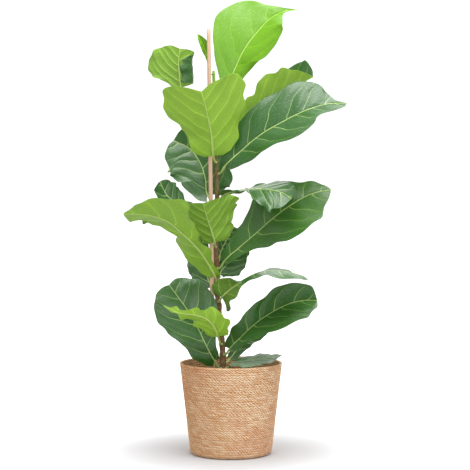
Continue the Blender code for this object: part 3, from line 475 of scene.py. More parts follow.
class FigBasketSettings(bpy.types.PropertyGroup):
    """Sizes and colours of the basket, the pot and the growing mix."""

    rows: IntProperty(name="Cord rows", description="Rows of cord up the side", default=38, min=8)
    strands: IntProperty(name="Strands", description="Strands round each row of cord", default=92, min=20)
    slant: FloatProperty(
        name="Slant", description="Strands crossed while a strand climbs a row", default=1.3
    )
    cord_depth: size("Cord depth", "How far a row swells out", 0.0017)
    strand_depth: size("Strand depth", "How far a strand stands out", 0.0019)
    wall: size("Wall", "Thickness of the wall", 0.006)
    cord: tint("Cord", "Main colour of the cord", (0.70, 0.37, 0.165))
    cord_pale: tint("Pale cord", "Colour of pale strands", (1.0, 0.80, 0.56))
    # Painted shade: the colour laid deep between strands and between rows, where shade falls.
    cord_groove_shade: tint("Dark cord", "Colour deep between strands", (0.26, 0.10, 0.035))
    chips: IntProperty(name="Bark chips", description="Chips to a square metre", default=26000, min=0)
    chip_size: size("Chip size", "Length of a bark chip", 0.0055)


class FigLeafSettings(bpy.types.PropertyGroup):
    """Sizes and colours of the leaves."""

    thickness: size("Thickness", "Of the blade", 0.0009)
    vein_width: size("Vein width", "Half width of a side vein", 0.0008)
    vein_depth: size("Vein depth", "How far side veins sink and stand out", 0.0005)
    upper_old: tint("Old, upper side", "Colour of an old leaf's upper side", (0.022, 0.105, 0.012))
    upper_young: tint("Young, upper side", "Colour of a young leaf's upper side", (0.15, 0.37, 0.001))
    under_old: tint("Old, underside", "Colour of an old leaf's underside", (0.090, 0.200, 0.030))
    under_young: tint("Young, underside", "Colour of a young leaf's underside", (0.40, 0.70, 0.040))
    vein: tint("Veins", "Colour of the veins", (0.38, 0.52, 0.16))


class FigStemSettings(bpy.types.PropertyGroup):
    """Sizes and colours of the stem and the cane."""

    stem_low: size("Stem at foot", "Radius", TRUNK_RADIUS_LOW)
    stem_high: size("Stem at top", "Radius", TRUNK_RADIUS_HIGH)
    cane_low: size("Cane at foot", "Radius", 0.0052)
    cane_high: size("Cane at top", "Radius", 0.0042)
    bark: tint("Bark", "Colour of old bark", (0.20, 0.12, 0.055))
    green_bark: tint("Green bark", "Colour of young bark", (0.13, 0.17, 0.045))
    cane: tint("Cane", "Colour of the cane", (0.76, 0.50, 0.33))


class FigStageSettings(bpy.types.PropertyGroup):
    """Light and floor."""

    key: FloatProperty(name="Key light", description="Power of the overhead light", default=74.0)
    back: FloatProperty(name="Back light", description="Power of the light behind", default=20.0)
    fill: FloatProperty(name="Fill light", description="Power of the front light", default=16.0)
    sky: FloatProperty(name="Surroundings", description="Strength of the light all round", default=0.80)
    lens: FloatProperty(name="Lens", description="Focal length in millimetres", default=110.0)


class Wiring:
    """Short ways to add nodes to a tree and to join them."""

    def __init__(self, tree):
        self.tree = tree

    def add(self, kind, **settings):
        """A new node with its settings."""
        node = self.tree.nodes.new(kind)
        for name, value in settings.items():
            setattr(node, name, value)
        return node

    def put(self, socket, value):
        """Joins an output to the socket, or sets the socket's value."""
        if isinstance(value, bpy.types.NodeSocket):
            self.tree.links.new(value, socket)
        else:
            socket.default_value = value

    def feed(self, node, **values):
        """Joins or sets a node's inputs, with _ for a space in their names."""
        for name, value in values.items():
            self.put(node.inputs[name.replace("_", " ")], value)
        return node

    def math(self, operation, *values):
        """One sum, and its output."""
        node = self.add("ShaderNodeMath", operation=operation)
        for socket, value in zip(node.inputs, values):
            self.put(socket, value)
        return node.outputs[0]

    def plus(self, first, second):
        """One value added to another."""
        return self.math("ADD", first, second)

    def minus(self, first, second):
        """The second value taken from the first."""
        return self.math("SUBTRACT", first, second)

    def times(self, first, second):
        """Two values multiplied."""
        return self.math("MULTIPLY", first, second)

    def over(self, first, second):
        """The first value divided by the second."""
        return self.math("DIVIDE", first, second)

    def most(self, first, second):
        """The larger of two values."""
        return self.math("MAXIMUM", first, second)

    def off_half(self, value):
        """How far a value is from a half, whichever way."""
        return self.math("ABSOLUTE", self.minus(value, 0.5))

    def swing(self, value, amount):
        """A value from 0 to 1 turned into one about 0, from half the amount below to half above."""
        return self.times(self.minus(value, 0.5), amount)

    def ridge(self, phase):
        """0 at each whole number and 1 half way between."""
        return self.math("ABSOLUTE", self.math("SINE", self.times(phase, math.pi)))

    def smooth(self, value, low, high, start=0.0, end=1.0):
        """A smooth step from start at low to end at high."""
        node = self.add("ShaderNodeMapRange", interpolation_type="SMOOTHSTEP")
        self.feed(node, Value=value, From_Min=low, From_Max=high, To_Min=start, To_Max=end)
        return node.outputs["Result"]

    def blend(self, share, first, second, kind="MIX"):
        """Two colours mixed."""
        node = self.add("ShaderNodeMix", data_type="RGBA", blend_type=kind)
        self.put(node.inputs[0], share)
        self.put(node.inputs[6], first)
        self.put(node.inputs[7], second)
        return node.outputs[2]

    def vector(self, x, y, z):
        """A vector made of three values."""
        node = self.add("ShaderNodeCombineXYZ")
        return self.feed(node, X=x, Y=y, Z=z).outputs[0]

    def parts(self, vector):
        """The three values of a vector."""
        node = self.add("ShaderNodeSeparateXYZ")
        self.put(node.inputs[0], vector)
        return node.outputs[0], node.outputs[1], node.outputs[2]

    def noise(self, vector, scale, detail=2.0, rough=0.5):
        """Soft noise, as one value."""
        node = self.add("ShaderNodeTexNoise")
        return self.feed(node, Vector=vector, Scale=scale, Detail=detail, Roughness=rough).outputs["Fac"]

    def attribute(self, name):
        """A value that the mesh carries."""
        return self.add("ShaderNodeAttribute", attribute_name=name)

    def place(self):
        """The place on the object."""
        return self.add("ShaderNodeTexCoord").outputs["Object"]


def colour(value, factor=1.0):
    """A colour, made darker or paler, with full alpha."""
    return (*(min(part * factor, 1.0) for part in value), 1.0)


def new_material(name, roughness, specular):
    """A material with its shader's plain values set, and the wiring to add to it."""
    material = bpy.data.materials.new(name)
    material.use_nodes = True
    shader = material.node_tree.nodes["Principled BSDF"]
    shader.inputs["Roughness"].default_value = roughness
    shader.inputs["Specular IOR Level"].default_value = specular
    return material, Wiring(material.node_tree), shader


def bump(w, shader, height, distance, strength=1.0):
    """Joins a height to the shader's normal."""
    node = w.feed(w.add("ShaderNodeBump"), Strength=strength, Distance=distance, Height=height)
    w.put(shader.inputs["Normal"], node.outputs["Normal"])


def vein_group():
    """Leaf veins drawn from the blade's own coordinates: side veins, midrib and the fine net between."""
    if "Leaf veins" in bpy.data.node_groups:
        return bpy.data.node_groups["Leaf veins"]
    group = bpy.data.node_groups.new("Leaf veins", "ShaderNodeTree")
    group.interface.new_socket("Place", in_out="INPUT", socket_type="NodeSocketVector")
    group.interface.new_socket("Width", in_out="INPUT", socket_type="NodeSocketFloat")
    for name in ("Veins", "Net", "Puff"):
        group.interface.new_socket(name, in_out="OUTPUT", socket_type="NodeSocketFloat")
    w = Wiring(group)
    given = w.add("NodeGroupInput").outputs
    _, climb, reach = w.parts(given["Place"])
    near = w.minus(0.5, w.off_half(w.math("FRACT", climb)))
    side = w.smooth(w.over(near, w.most(given["Width"], 0.0001)), 0.5, 1.5, 1.0, 0.0)
    side = w.times(side, w.smooth(given["Width"], 0.0002, 0.004))
    midrib = w.smooth(w.math("ABSOLUTE", reach), 0.0007, 0.0014, 1.0, 0.0)
    cells = w.add("ShaderNodeTexVoronoi", feature="DISTANCE_TO_EDGE", voronoi_dimensions="2D")
    w.feed(cells, Vector=w.vector(w.times(reach, 150.0), w.times(climb, 4.2), 0.0), Scale=1.0)
    net = w.smooth(cells.outputs["Distance"], 0.0, 0.14, 1.0, 0.0)
    puff = w.smooth(near, 0.0, 0.32)
    w.feed(w.add("NodeGroupOutput"), Veins=w.most(side, midrib), Net=net, Puff=puff)
    return group


def leaf_veins(w):
    """Places the vein group in a leaf material."""
    node = w.add("ShaderNodeGroup", node_tree=vein_group())
    w.feed(node, Place=w.attribute("blade").outputs["Vector"], Width=w.attribute("vein").outputs["Fac"])
    return node.outputs


def leaf_material(name, old, young, vein, shares, roughness, specular, coat=0.0, coat_roughness=0.1):
    """One side of a leaf, from old to young by the age that the mesh carries, which is partly painted sheen
    on a few upper sides.
    """
    material, w, shader = new_material(name, roughness, specular)
    shader.inputs["Coat Roughness"].default_value = coat_roughness
    vein_share, net_share = shares
    place = w.place()
    veins = leaf_veins(w)
    age = w.attribute("age").outputs["Fac"]
    patches = w.noise(place, 14.0, 4.0)
    freckles = w.noise(place, 160.0)
    shade = w.plus(age, w.swing(patches, 0.22))
    shade = w.plus(shade, w.times(veins["Puff"], -0.05))
    blade = w.blend(w.smooth(shade, 0.0, 1.0), colour(old), colour(young))
    blade = w.blend(w.times(freckles, 0.18), blade, colour(old, 0.55))
    blade = w.blend(w.times(veins["Net"], net_share), blade, vein)
    vein_tint = w.blend(w.smooth(age, 0.0, 1.0), vein, colour(young, 1.35))
    base = w.blend(w.times(veins["Veins"], vein_share), blade, vein_tint)
    gloss = w.plus(roughness, w.swing(patches, 0.22))
    w.feed(shader, Base_Color=base, Roughness=gloss, Coat_Weight=w.smooth(age, 0.0, 0.8, coat, 0.0))
    bump(w, shader, w.minus(w.times(w.noise(place, 420.0), 0.10), veins["Net"]), 0.00025, 0.7)
    return material


def leaf_materials(settings):
    """The upper side, the underside and the ribs."""
    upper = leaf_material(
        "leaf_upper", settings.upper_old, settings.upper_young, colour(settings.vein), (0.80, 0.06),
        roughness=0.36, specular=0.5, coat=0.30, coat_roughness=0.22,
    )
    under = leaf_material(
        "leaf_underside", settings.under_old, settings.under_young, colour(settings.vein, 1.35),
        (0.75, 0.12), roughness=0.52, specular=0.35,
    )
    rib, w, shader = new_material("leaf_rib", 0.5, 0.4)
    place = w.place()
    old = w.blend(w.noise(place, 40.0, 3.0), colour(settings.vein, 0.9), colour(settings.vein))
    w.feed(shader, Base_Color=w.blend(w.attribute("age").outputs["Fac"], old, colour(RIB_YOUNG)))
    bump(w, shader, w.noise(place, 500.0), 0.0002)
    return upper, under, rib


def cord_material(settings):
    """Twisted plant fibre, from the place on the cord that the mesh carries, with painted shade."""
    material, w, shader = new_material("basket_cord", 0.86, 0.15)
    place = w.place()
    phase, climb, row = w.parts(w.attribute("cord").outputs["Vector"])
    chance = w.add("ShaderNodeTexWhiteNoise", noise_dimensions="2D")
    w.feed(chance, Vector=w.vector(w.math("FLOOR", w.plus(phase, 0.5)), row, 0.0))
    fibres = w.noise(w.vector(w.times(phase, 5.0), w.times(climb, 1.5), row), 1.0, 3.0, 0.7)
    shade = w.plus(w.times(chance.outputs["Value"], 0.65), w.times(fibres, 0.55))
    shade = w.plus(shade, w.swing(w.noise(place, 22.0, 3.0), 0.30))
    fibre = w.blend(w.smooth(shade, 0.15, 1.05), colour(settings.cord), colour(settings.cord_pale))
    blush = w.smooth(w.noise(place, 9.0), 0.48, 0.70, 0.0, 0.40)
    fibre = w.blend(blush, fibre, colour(CORD_BLUSH))
    # Painted shade: the cord is darkened toward the basket's left side.
    painted_left_shade = w.smooth(w.parts(place)[0], -0.12, 0.03, 0.75, 0.0)
    fibre = w.blend(painted_left_shade, fibre, colour(CORD_LEFT_SHADE), "MULTIPLY")
    # Painted shade: the cord darkens in the grooves between strands and at the seams between rows.
    groove = w.smooth(w.ridge(phase), 0.0, 0.85, 0.97, 0.0)
    painted_seam_shade = w.smooth(w.off_half(w.math("FRACT", climb)), 0.38, 0.5, 0.0, 0.40)
    w.feed(shader, Base_Color=w.blend(w.most(groove, painted_seam_shade), fibre, colour(settings.cord_groove_shade)))
    bump(w, shader, fibres, 0.0006, 0.8)
    return material


def bark_material(settings):
    """Green young bark that turns brown and rough toward the foot."""
    material, w, shader = new_material("stem_bark", 0.7, 0.3)
    x, y, z = w.parts(w.place())
    rings = w.noise(w.vector(w.times(x, 0.25), w.times(y, 0.25), z), 260.0, 4.0, 0.7)
    cracks = w.noise(w.vector(x, y, w.times(z, 0.12)), 420.0, 3.0, 0.6)
    brown = w.smooth(w.plus(z, w.swing(rings, 0.25)), CROWN + 0.15, CROWN + 0.60, 1.0, 0.25)
    tone = w.blend(brown, colour(settings.green_bark), colour(settings.bark))
    tone = w.blend(w.smooth(rings, 0.45, 0.75, 0.0, 0.7), tone, colour(settings.bark, 2.2))
    tone = w.blend(w.smooth(cracks, 0.52, 0.72, 0.0, 0.75), tone, colour(settings.bark, 0.3))
    tone = w.blend(w.smooth(z, CROWN + 0.60, CROWN + 0.68), tone, colour(SHOOT_GREEN))
    w.feed(shader, Base_Color=tone)
    bump(w, shader, w.minus(rings, cracks), 0.0007)
    return material


def cane_material(settings):
    """Dry split cane with long grain and a few darker specks."""
    material, w, shader = new_material("cane_wood", 0.55, 0.35)
    place = w.place()
    x, y, z = w.parts(place)
    grain = w.noise(w.vector(x, y, w.times(z, 0.02)), 900.0, 3.0, 0.6)
    tone = w.blend(w.smooth(grain, 0.35, 0.7), colour(settings.cane, 0.82), colour(settings.cane))
    tone = w.blend(w.smooth(w.noise(place, 7.0), 0.45, 0.7, 0.0, 0.5), tone, colour(CANE_BLUSH))
    specks = w.smooth(w.noise(place, 240.0, 1.0), 0.70, 0.78, 0.0, 0.6)
    w.feed(shader, Base_Color=w.blend(specks, tone, colour(CANE_SPECK)))
    bump(w, shader, grain, 0.0003)
    return material


def pot_material():
    """Black nursery pot plastic with faint scuffs."""
    material, w, shader = new_material("pot_plastic", 0.45, 0.5)
    place = w.place()
    dark, pale = POT_COLOURS
    scuffs = w.smooth(w.noise(place, 90.0, 5.0, 0.7), 0.50, 0.78)
    w.feed(
        shader, Base_Color=w.blend(scuffs, colour(dark), colour(pale)),
        Roughness=w.smooth(scuffs, 0.0, 1.0, 0.38, 0.70),
    )
    bump(w, shader, w.noise(place, 700.0), 0.0001)
    return material


def mix_material(name, colours, scale):
    """Moist bark and peat."""
    material, w, shader = new_material(name, 0.9, 0.2)
    dark, pale = colours
    crumbs = w.noise(w.place(), scale, 5.0, 0.7)
    w.feed(shader, Base_Color=w.blend(w.smooth(crumbs, 0.35, 0.75), colour(dark), colour(pale)))
    bump(w, shader, crumbs, 0.0015)
    return material


def tie_material():
    """Soft green plastic tie."""
    material, w, shader = new_material("tie_plastic", 0.5, 0.4)
    dark, pale = TIE_COLOURS
    patches = w.noise(w.place(), 300.0)
    w.feed(shader, Base_Color=w.blend(patches, colour(dark), colour(pale)))
    bump(w, shader, patches, 0.0002)
    return material


def scale_material():
    """Dry brown skin of an opened bud."""
    material, w, shader = new_material("papery_scale", 0.75, 0.25)
    dark, pale = PAPER_COLOURS
    x, y, z = w.parts(w.place())
    lines = w.noise(w.vector(x, y, w.times(z, 0.15)), 600.0, 3.0)
    w.feed(shader, Base_Color=w.blend(lines, colour(dark), colour(pale)))
    bump(w, shader, lines, 0.0004)
    return material


def finish_piece(piece, nodes):
    """Hangs the piece on the root body and hides the imported parts that it stands in for."""
    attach(piece, "root")
    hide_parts(*nodes)
    return piece


def dress(thing, material):
    """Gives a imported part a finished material."""
    thing.data.materials.clear()
    thing.data.materials.append(material)


def place_mesh(name, mesh):
    """A smooth-shaded object that holds the mesh."""
    mesh.polygons.foreach_set("use_smooth", [True] * len(mesh.polygons))
    piece = bpy.data.objects.new(name, mesh)
    bpy.context.scene.collection.objects.link(piece)
    return piece


def new_piece(name, points, faces, materials):
    """A smooth-shaded mesh object."""
    mesh = bpy.data.meshes.new(name)
    mesh.from_pydata([tuple(point) for point in points], [], faces)
    for material in materials:
        mesh.materials.append(material)
    return place_mesh(name, mesh)


def evaluated_piece(name, tree, values):
    """Runs a geometry tree with the given inputs and keeps its result as a plain mesh."""
    carrier = bpy.data.objects.new(name + "_carrier", bpy.data.meshes.new(name + "_carrier"))
    bpy.context.scene.collection.objects.link(carrier)
    modifier = carrier.modifiers.new("Shape", "NODES")
    modifier.node_group = tree
    for item in tree.interface.items_tree:
        if item.item_type == "SOCKET" and item.name in values:
            modifier[item.identifier] = values[item.name]
    bpy.context.view_layer.update()
    graph = bpy.context.evaluated_depsgraph_get()
    mesh = bpy.data.meshes.new_from_object(carrier.evaluated_get(graph), depsgraph=graph)
    bpy.data.objects.remove(carrier, do_unlink=True)
    mesh.name = name
    return place_mesh(name, mesh)


def carry(mesh, name, kind, values):
    """Gives each point of the mesh a value or a vector for the materials to read."""
    field = "vector" if kind == "FLOAT_VECTOR" else "value"
    data = mesh.attributes.new(name, kind, "POINT").data
    data.foreach_set(field, np.asarray(values).astype(np.float32).ravel())


def unit_rows(vectors):
    """Each row at length one."""
    return vectors / np.maximum(np.linalg.norm(vectors, axis=-1, keepdims=True), 1e-12)


def held(values):
    """Values kept from 0 to 1."""
    return np.clip(values, 0, 1)


def bell(distance, reach):
    """1 at no distance, falling away smoothly past the reach."""
    return np.exp(-((distance / reach) ** 2))


def above_crown(place):
    """A point of the plant, stood on its crown."""
    return np.array((place[0], place[1], CROWN + place[2]))


def stem_at(height):
    """The stem's middle at a height above the crown."""
    line = np.array(STEM_LINE)
    return np.array([np.interp(height, line[:, 2], line[:, axis]) for axis in range(3)])


def stem_radius(height, low=TRUNK_RADIUS_LOW, high=TRUNK_RADIUS_HIGH):
    """The stem's radius at a height above the crown."""
    share = min(max(height / STEM_HEIGHT, 0.0), 1.0)
    return low + (high - low) * share


def smooth_line(points, steps=LINE_STEPS):
    """Closely spaced points along a smooth curve through the given ones."""
    points = np.array(points, dtype=float)
    chords = np.linalg.norm(np.diff(points, axis=0), axis=1)
    slopes = np.diff(points, axis=0) / chords[:, None]
    tangents = np.empty_like(points)
    tangents[0] = slopes[0]
    tangents[-1] = slopes[-1]
    for i in range(1, len(points) - 1):
        before, after = chords[i - 1], chords[i]
        tangents[i] = (slopes[i - 1] * after + slopes[i] * before) / (before + after)
    fine = [points[0]]
    for i, chord in enumerate(chords):
        for step in range(1, steps + 1):
            t = step / steps
            fine.append(
                points[i] * (1 - t) ** 2 * (1 + 2 * t)
                + tangents[i] * chord * t * (1 - t) ** 2
                + points[i + 1] * t**2 * (3 - 2 * t)
                - tangents[i + 1] * chord * t**2 * (1 - t)
            )
    return np.array(fine)


def run_lengths(line):
    """The distance along a line at each of its points."""
    return np.concatenate(([0.0], np.cumsum(np.linalg.norm(np.diff(line, axis=0), axis=1))))


def sample(places, run, line):
    """Values along a line at the given places, each column by itself."""
    return np.stack([np.interp(places, run, line[:, axis]) for axis in range(line.shape[1])], axis=-1)


def tube(points, radii, sides, start_side=(1.0, 0.0, 0.0)):
    """Points and faces of a round tube with closed ends."""
    points = np.array(points, dtype=float)
    forward = unit_rows(np.gradient(points, axis=0))
    side = np.array(start_side, dtype=float)
    rings = []
    for place, ahead, radius in zip(points, forward, radii):
        side = side - ahead * np.dot(side, ahead)
        side = side / np.linalg.norm(side)
        other = np.cross(ahead, side)
        for step in range(sides):
            angle = math.tau * step / sides
            rings.append(place + radius * (side * math.cos(angle) + other * math.sin(angle)))
    faces = []
    for row in range(len(points) - 1):
        for step in range(sides):
            after = (step + 1) % sides
            low, high = row * sides, (row + 1) * sides
            faces.append((low + step, low + after, high + after, high + step))
    faces.append(tuple(reversed(range(sides))))
    faces.append(tuple((len(points) - 1) * sides + step for step in range(sides)))
    return rings, faces


def sheet_faces(rows, columns):
    """Faces of a closed thin sheet whose points are its upper grid and then its lower one.

    The second list says of each face whether it is on the upper side and the border, 0, or below, 1.
    """
    count = rows * columns
    faces = []
    sides = []
    for row in range(rows - 1):
        for column in range(columns - 1):
            a = row * columns + column
            faces.append((a, a + 1, a + 1 + columns, a + columns))
            faces.append((count + a + columns, count + a + columns + 1, count + a + 1, count + a))
            sides += [0, 1]
    border = list(range(columns))
    border += [row * columns + columns - 1 for row in range(1, rows)]
    border += [(rows - 1) * columns + column for column in range(columns - 2, -1, -1)]
    border += [row * columns for row in range(rows - 2, 0, -1)]
    for here, after in zip(border, border[1:] + border[:1]):
        faces.append((after, here, count + here, count + after))
        sides.append(0)
    return faces, sides


def turned_piece(name, profile, steps, material):
    """A closed body turned about Z from radius and height pairs that run up its outer side."""
    points = []
    faces = []
    rings = []
    for radius, height in profile:
        if radius == 0.0:
            rings.append([len(points)])
            points.append((0.0, 0.0, height))
            continue
        rings.append(list(range(len(points), len(points) + steps)))
        for step in range(steps):
            angle = math.tau * step / steps
            points.append((radius * math.cos(angle), radius * math.sin(angle), height))
    for low, high in zip(rings, rings[1:]):
        for step in range(steps):
            after = (step + 1) % steps
            if len(low) == 1:
                faces.append((low[0], high[after], high[step]))
            elif len(high) == 1:
                faces.append((low[step], low[after], high[0]))
            else:
                faces.append((low[step], low[after], high[after], high[step]))
    return new_piece(name, points, faces, [material])


class LeafShape:
    """Where the points of a leaf lie: its stalk, midrib and two halves."""

    def __init__(self, leaf):
        self.leaf = leaf
        blade = [above_crown(place) for place in leaf["line"]]
        joint = above_crown(stem_at(leaf["joint"]))
        out = blade[0] - joint
        out[2] = 0.0
        out = out / np.linalg.norm(out)
        start = joint + out * stem_radius(leaf["joint"]) * 0.6
        knee = joint + out * (stem_radius(leaf["joint"]) + PETIOLE_DEPTH)
        self.fine = smooth_line([start, knee] + blade)
        self.run = run_lengths(self.fine)
        self.base = self.run[2 * LINE_STEPS]
        self.length = self.run[-1] - self.base
        first = unit_rows(blade[1] - blade[0])
        last = unit_rows(blade[-1] - blade[-2])
        self.side_first = unit_rows(np.cross(first, unit_rows(np.array(leaf["face"][0]))))
        self.side_last = unit_rows(np.cross(last, unit_rows(np.array(leaf["face"][1]))))
        self.edges = [self.smooth_edge(edge) for edge in leaf.get("edges", ())]

    def smooth_edge(self, points):
        """A half's edge as closely spaced points, with their run lengths."""
        tip = (EDGE_STRETCH, 0.0, 0.0)
        line = smooth_line([(along * EDGE_STRETCH, width, 0.0) for along, width in points] + [tip])
        return line[:, :2] / (EDGE_STRETCH, 1.0), run_lengths(line)

    def along_midrib(self, run):
        """The midrib's points at run lengths, with forward, right-hand and upper directions."""
        inside = np.clip(run, 0.0, self.run[-1])
        place = sample(inside, self.run, self.fine)
        front = sample(np.minimum(inside + DIRECTION_STEP, self.run[-1]), self.run, self.fine)
        back = sample(np.maximum(inside - DIRECTION_STEP, 0.0), self.run, self.fine)
        forward = unit_rows(front - back)
        place = place + forward * (run - inside)[..., None]
        first, last = self.leaf.get("turn", (0.0, 1.0))
        share = held(((run - self.base) / self.length - first) / (last - first))
        share = (share * share * (3 - 2 * share))[..., None]
        side = self.side_first * (1 - share) + self.side_last * share
        side = unit_rows(side - forward * np.sum(side * forward, axis=-1, keepdims=True))
        return place, forward, side, np.cross(side, forward)

    def outline(self, share, hand):
        """Where each row ends and how wide it is, by the row's place on the midrib."""
        if self.edges:
            line, run = self.edges[hand]
            place = share * run[-1]
            return np.interp(place, run, line[:, 0]), np.interp(place, run, line[:, 1])
        rows = np.array(LEAF_ROWS)
        end, width, narrower = (np.interp(share, rows[:, 0], rows[:, column]) for column in (1, 2, 3))
        waist = self.leaf.get("waist", (0.0, 0.0))[hand]
        width = (width - narrower * waist) * self.leaf["widths"][hand]
        lobe = self.leaf.get("lobe", 0.0)
        return end + lobe * np.sin(math.pi * held((share - 0.35) / 0.65)), width

    def blade(self, share, across, wave):
        """Points of the blade, with each one's distance from the midrib and place along it, in metres."""
        places = np.zeros(share.shape + (3,))
        reaches = np.zeros(share.shape)
        alongs = np.zeros(share.shape)
        distance = np.abs(across)
        # Hand 0 is the right half and hand 1 the left one.
        for hand, sign in ((0, 1.0), (1, -1.0)):
            end, width = self.outline(share, hand)
            trembles = np.sin(share * 29 + 2.0 * hand) + 0.6 * np.sin(share * 47 + 5.0 * hand)
            ends = held(share * 8) * held((1 - share) * 8)
            width = width + 1.1 * wave * trembles * distance**4 * ends
            along = share + (end - share) * distance**ROW_BEND
            reach = width * distance
            fold = math.radians(self.leaf["folds"][hand]) * np.minimum(0.35 + share * 2.6, 1.0)
            turn = math.radians(self.leaf["curls"][hand]) / self.leaf["widths"][hand] + 1e-6
            outward = (np.sin(fold + turn * reach) - np.sin(fold)) / turn
            upward = (np.cos(fold) - np.cos(fold + turn * reach)) / turn
            place, _, side, upper = self.along_midrib(self.base + along * self.length)
            found = place + side * (outward * sign)[..., None] + upper * upward[..., None]
            mine = across >= 0 if hand == 0 else across < 0
            places[mine] = found[mine]
            reaches[mine] = reach[mine] * sign
            alongs[mine] = along[mine] * self.length
        return places, reaches, alongs


def blade_sheet(shape, settings, looks, number):
    """A thin quilted blade: its points, each one's place among the veins and the veins' width there."""
    leaf = shape.leaf
    puff, wave, side_veins = looks
    spread = np.linspace(-1, 1, BLADE_COLUMNS)
    across, share = np.meshgrid(spread, np.linspace(0, 1, BLADE_ROWS))
    across = np.sign(across) * np.abs(across) ** ROW_SPREAD
    places, reaches, alongs = shape.blade(share, across, wave)
    normal = unit_rows(np.cross(np.gradient(places, axis=1), np.gradient(places, axis=0)))
    normal[0] = normal[1]
    normal[-1] = normal[-2]
    distance = np.abs(across)
    border = 1.0 - distance
    tip = 1 - share

    # Side veins leave the midrib at equal spaces and bend forward on their way out.
    half = np.where(across < 0, leaf["widths"][1], leaf["widths"][0])
    spacing = shape.length / side_veins
    reach = np.abs(reaches)
    ahead = 0.55 * reach + 0.50 * reach**2 / half
    climb = (alongs - ahead) / spacing + np.where(across < 0, 0.5, 0.05)
    climb = climb + 0.10 * np.sin(climb * 2.3 + number) + 0.04 * np.sin(reaches * 160 + number)
    slim = held(1.05 - 0.75 * distance) * held(border / 0.12)
    slim = slim * held((alongs - ahead + 0.012) / 0.012)
    vein = settings.vein_width / spacing * slim

    # The blade puffs up between veins, waves at its edge and sinks over each vein.
    fade = held(distance / 0.18) * held(border / 0.25)
    lift = puff * (np.sin(math.pi * climb) ** 2 - 0.5) * fade * held(share * 6) * held(tip * 5)
    ripple = np.sin(share * 17 + number) + 0.7 * np.sin(share * 31 + number * 1.7 + np.sign(across))
    lift = lift + wave * ripple * distance**3 * held(share * 5) * held(tip * 5)
    near = (0.5 - np.abs((climb % 1.0) - 0.5)) * spacing
    groove = settings.vein_depth * bell(near, GROOVE_REACH) * fade * held(slim * 3)
    body = settings.thickness / 2 * (1 - 0.5 * distance)
    sunk = groove + MIDRIB_DEPTH * bell(reaches, GROOVE_REACH)
    top = places + normal * (lift + body - sunk)[..., None]
    low = places + normal * (lift - body - groove * 0.9)[..., None]
    points = np.concatenate((top.reshape(-1, 3), low.reshape(-1, 3)))
    return points, np.stack((across, climb, reaches), axis=-1).reshape(-1, 3), vein.ravel()


def rib_tube(shape, settings, thinner):
    """The rib that runs from the stalk up the midrib."""
    stalk = np.linspace(0, shape.base, 22)[:-1]
    run = np.concatenate((stalk, np.linspace(shape.base, shape.run[-1], 60)))
    spine, _, side, upper = shape.along_midrib(run)
    past = held((run - shape.base) / shape.length)
    swell, swell_reach = STALK_FOOT
    radius = STALK_RADIUS * (1 + swell * bell(run, swell_reach))
    radius = np.where(past > 0, RIB_RADIUS * (1 - past) ** 0.8 + RIB_TIP, radius) * thinner
    sink = radius * 0.75 + settings.thickness * 0.2
    sink = np.where(past > 0, sink, radius * 0.75 * held(run / shape.base) ** 2)
    return tube(spine - upper * sink[:, None], radius, PETIOLE_SIDES, side[0])


def make_leaf(leaf, settings, materials):
    """One leaf: its blade, and the rib that carries it."""
    name = leaf["name"]
    shape = LeafShape(leaf)
    upper_age_and_sheen, under_age, *looks = LEAF_LOOKS[name]
    number = sum(ord(letter) * (place + 3) for place, letter in enumerate(name))
    points, blade, vein = blade_sheet(shape, settings, looks, number)
    faces, sides = sheet_faces(BLADE_ROWS, BLADE_COLUMNS)
    rib_points, rib_faces = rib_tube(shape, settings, BUD_STALK if name == "terminal_bud" else 1.0)
    offset = len(points)
    extra = len(rib_points)
    faces += [tuple(index + offset for index in face) for face in rib_faces]
    sides += [2] * len(rib_faces)
    piece = new_piece("fig_" + name, np.concatenate((points, rib_points)), faces, materials)
    mesh = piece.data
    mesh.polygons.foreach_set("material_index", sides)
    ages = (np.full(len(vein), upper_age_and_sheen), np.full(len(vein) + extra, under_age))
    carry(mesh, "age", "FLOAT", np.concatenate(ages))
    carry(mesh, "vein", "FLOAT", np.concatenate((vein, vein, np.zeros(extra))))
    carry(mesh, "blade", "FLOAT_VECTOR", np.concatenate((blade, blade, np.full((extra, 3), 0.5))))
    return finish_piece(piece, [name])


def new_tree(name, lengths, counts):
    """A geometry tree with named inputs, the wiring to add to it and its inputs."""
    tree = bpy.data.node_groups.new(name, "GeometryNodeTree")
    tree.interface.new_socket("Geometry", in_out="OUTPUT", socket_type="NodeSocketGeometry")
    for kind, labels in (("NodeSocketFloat", lengths), ("NodeSocketInt", counts)):
        for label in labels:
            tree.interface.new_socket(label, in_out="INPUT", socket_type=kind)
    w = Wiring(tree)
    return tree, w, w.add("NodeGroupInput").outputs


def finish_tree(w, geometry, material):
    """Ends a tree with real geometry and its material."""
    real = w.feed(w.add("GeometryNodeRealizeInstances"), Geometry=geometry)
    paint = w.add("GeometryNodeSetMaterial")
    w.feed(paint, Geometry=real.outputs["Geometry"], Material=material)
    w.feed(w.add("NodeGroupOutput"), Geometry=paint.outputs["Geometry"])


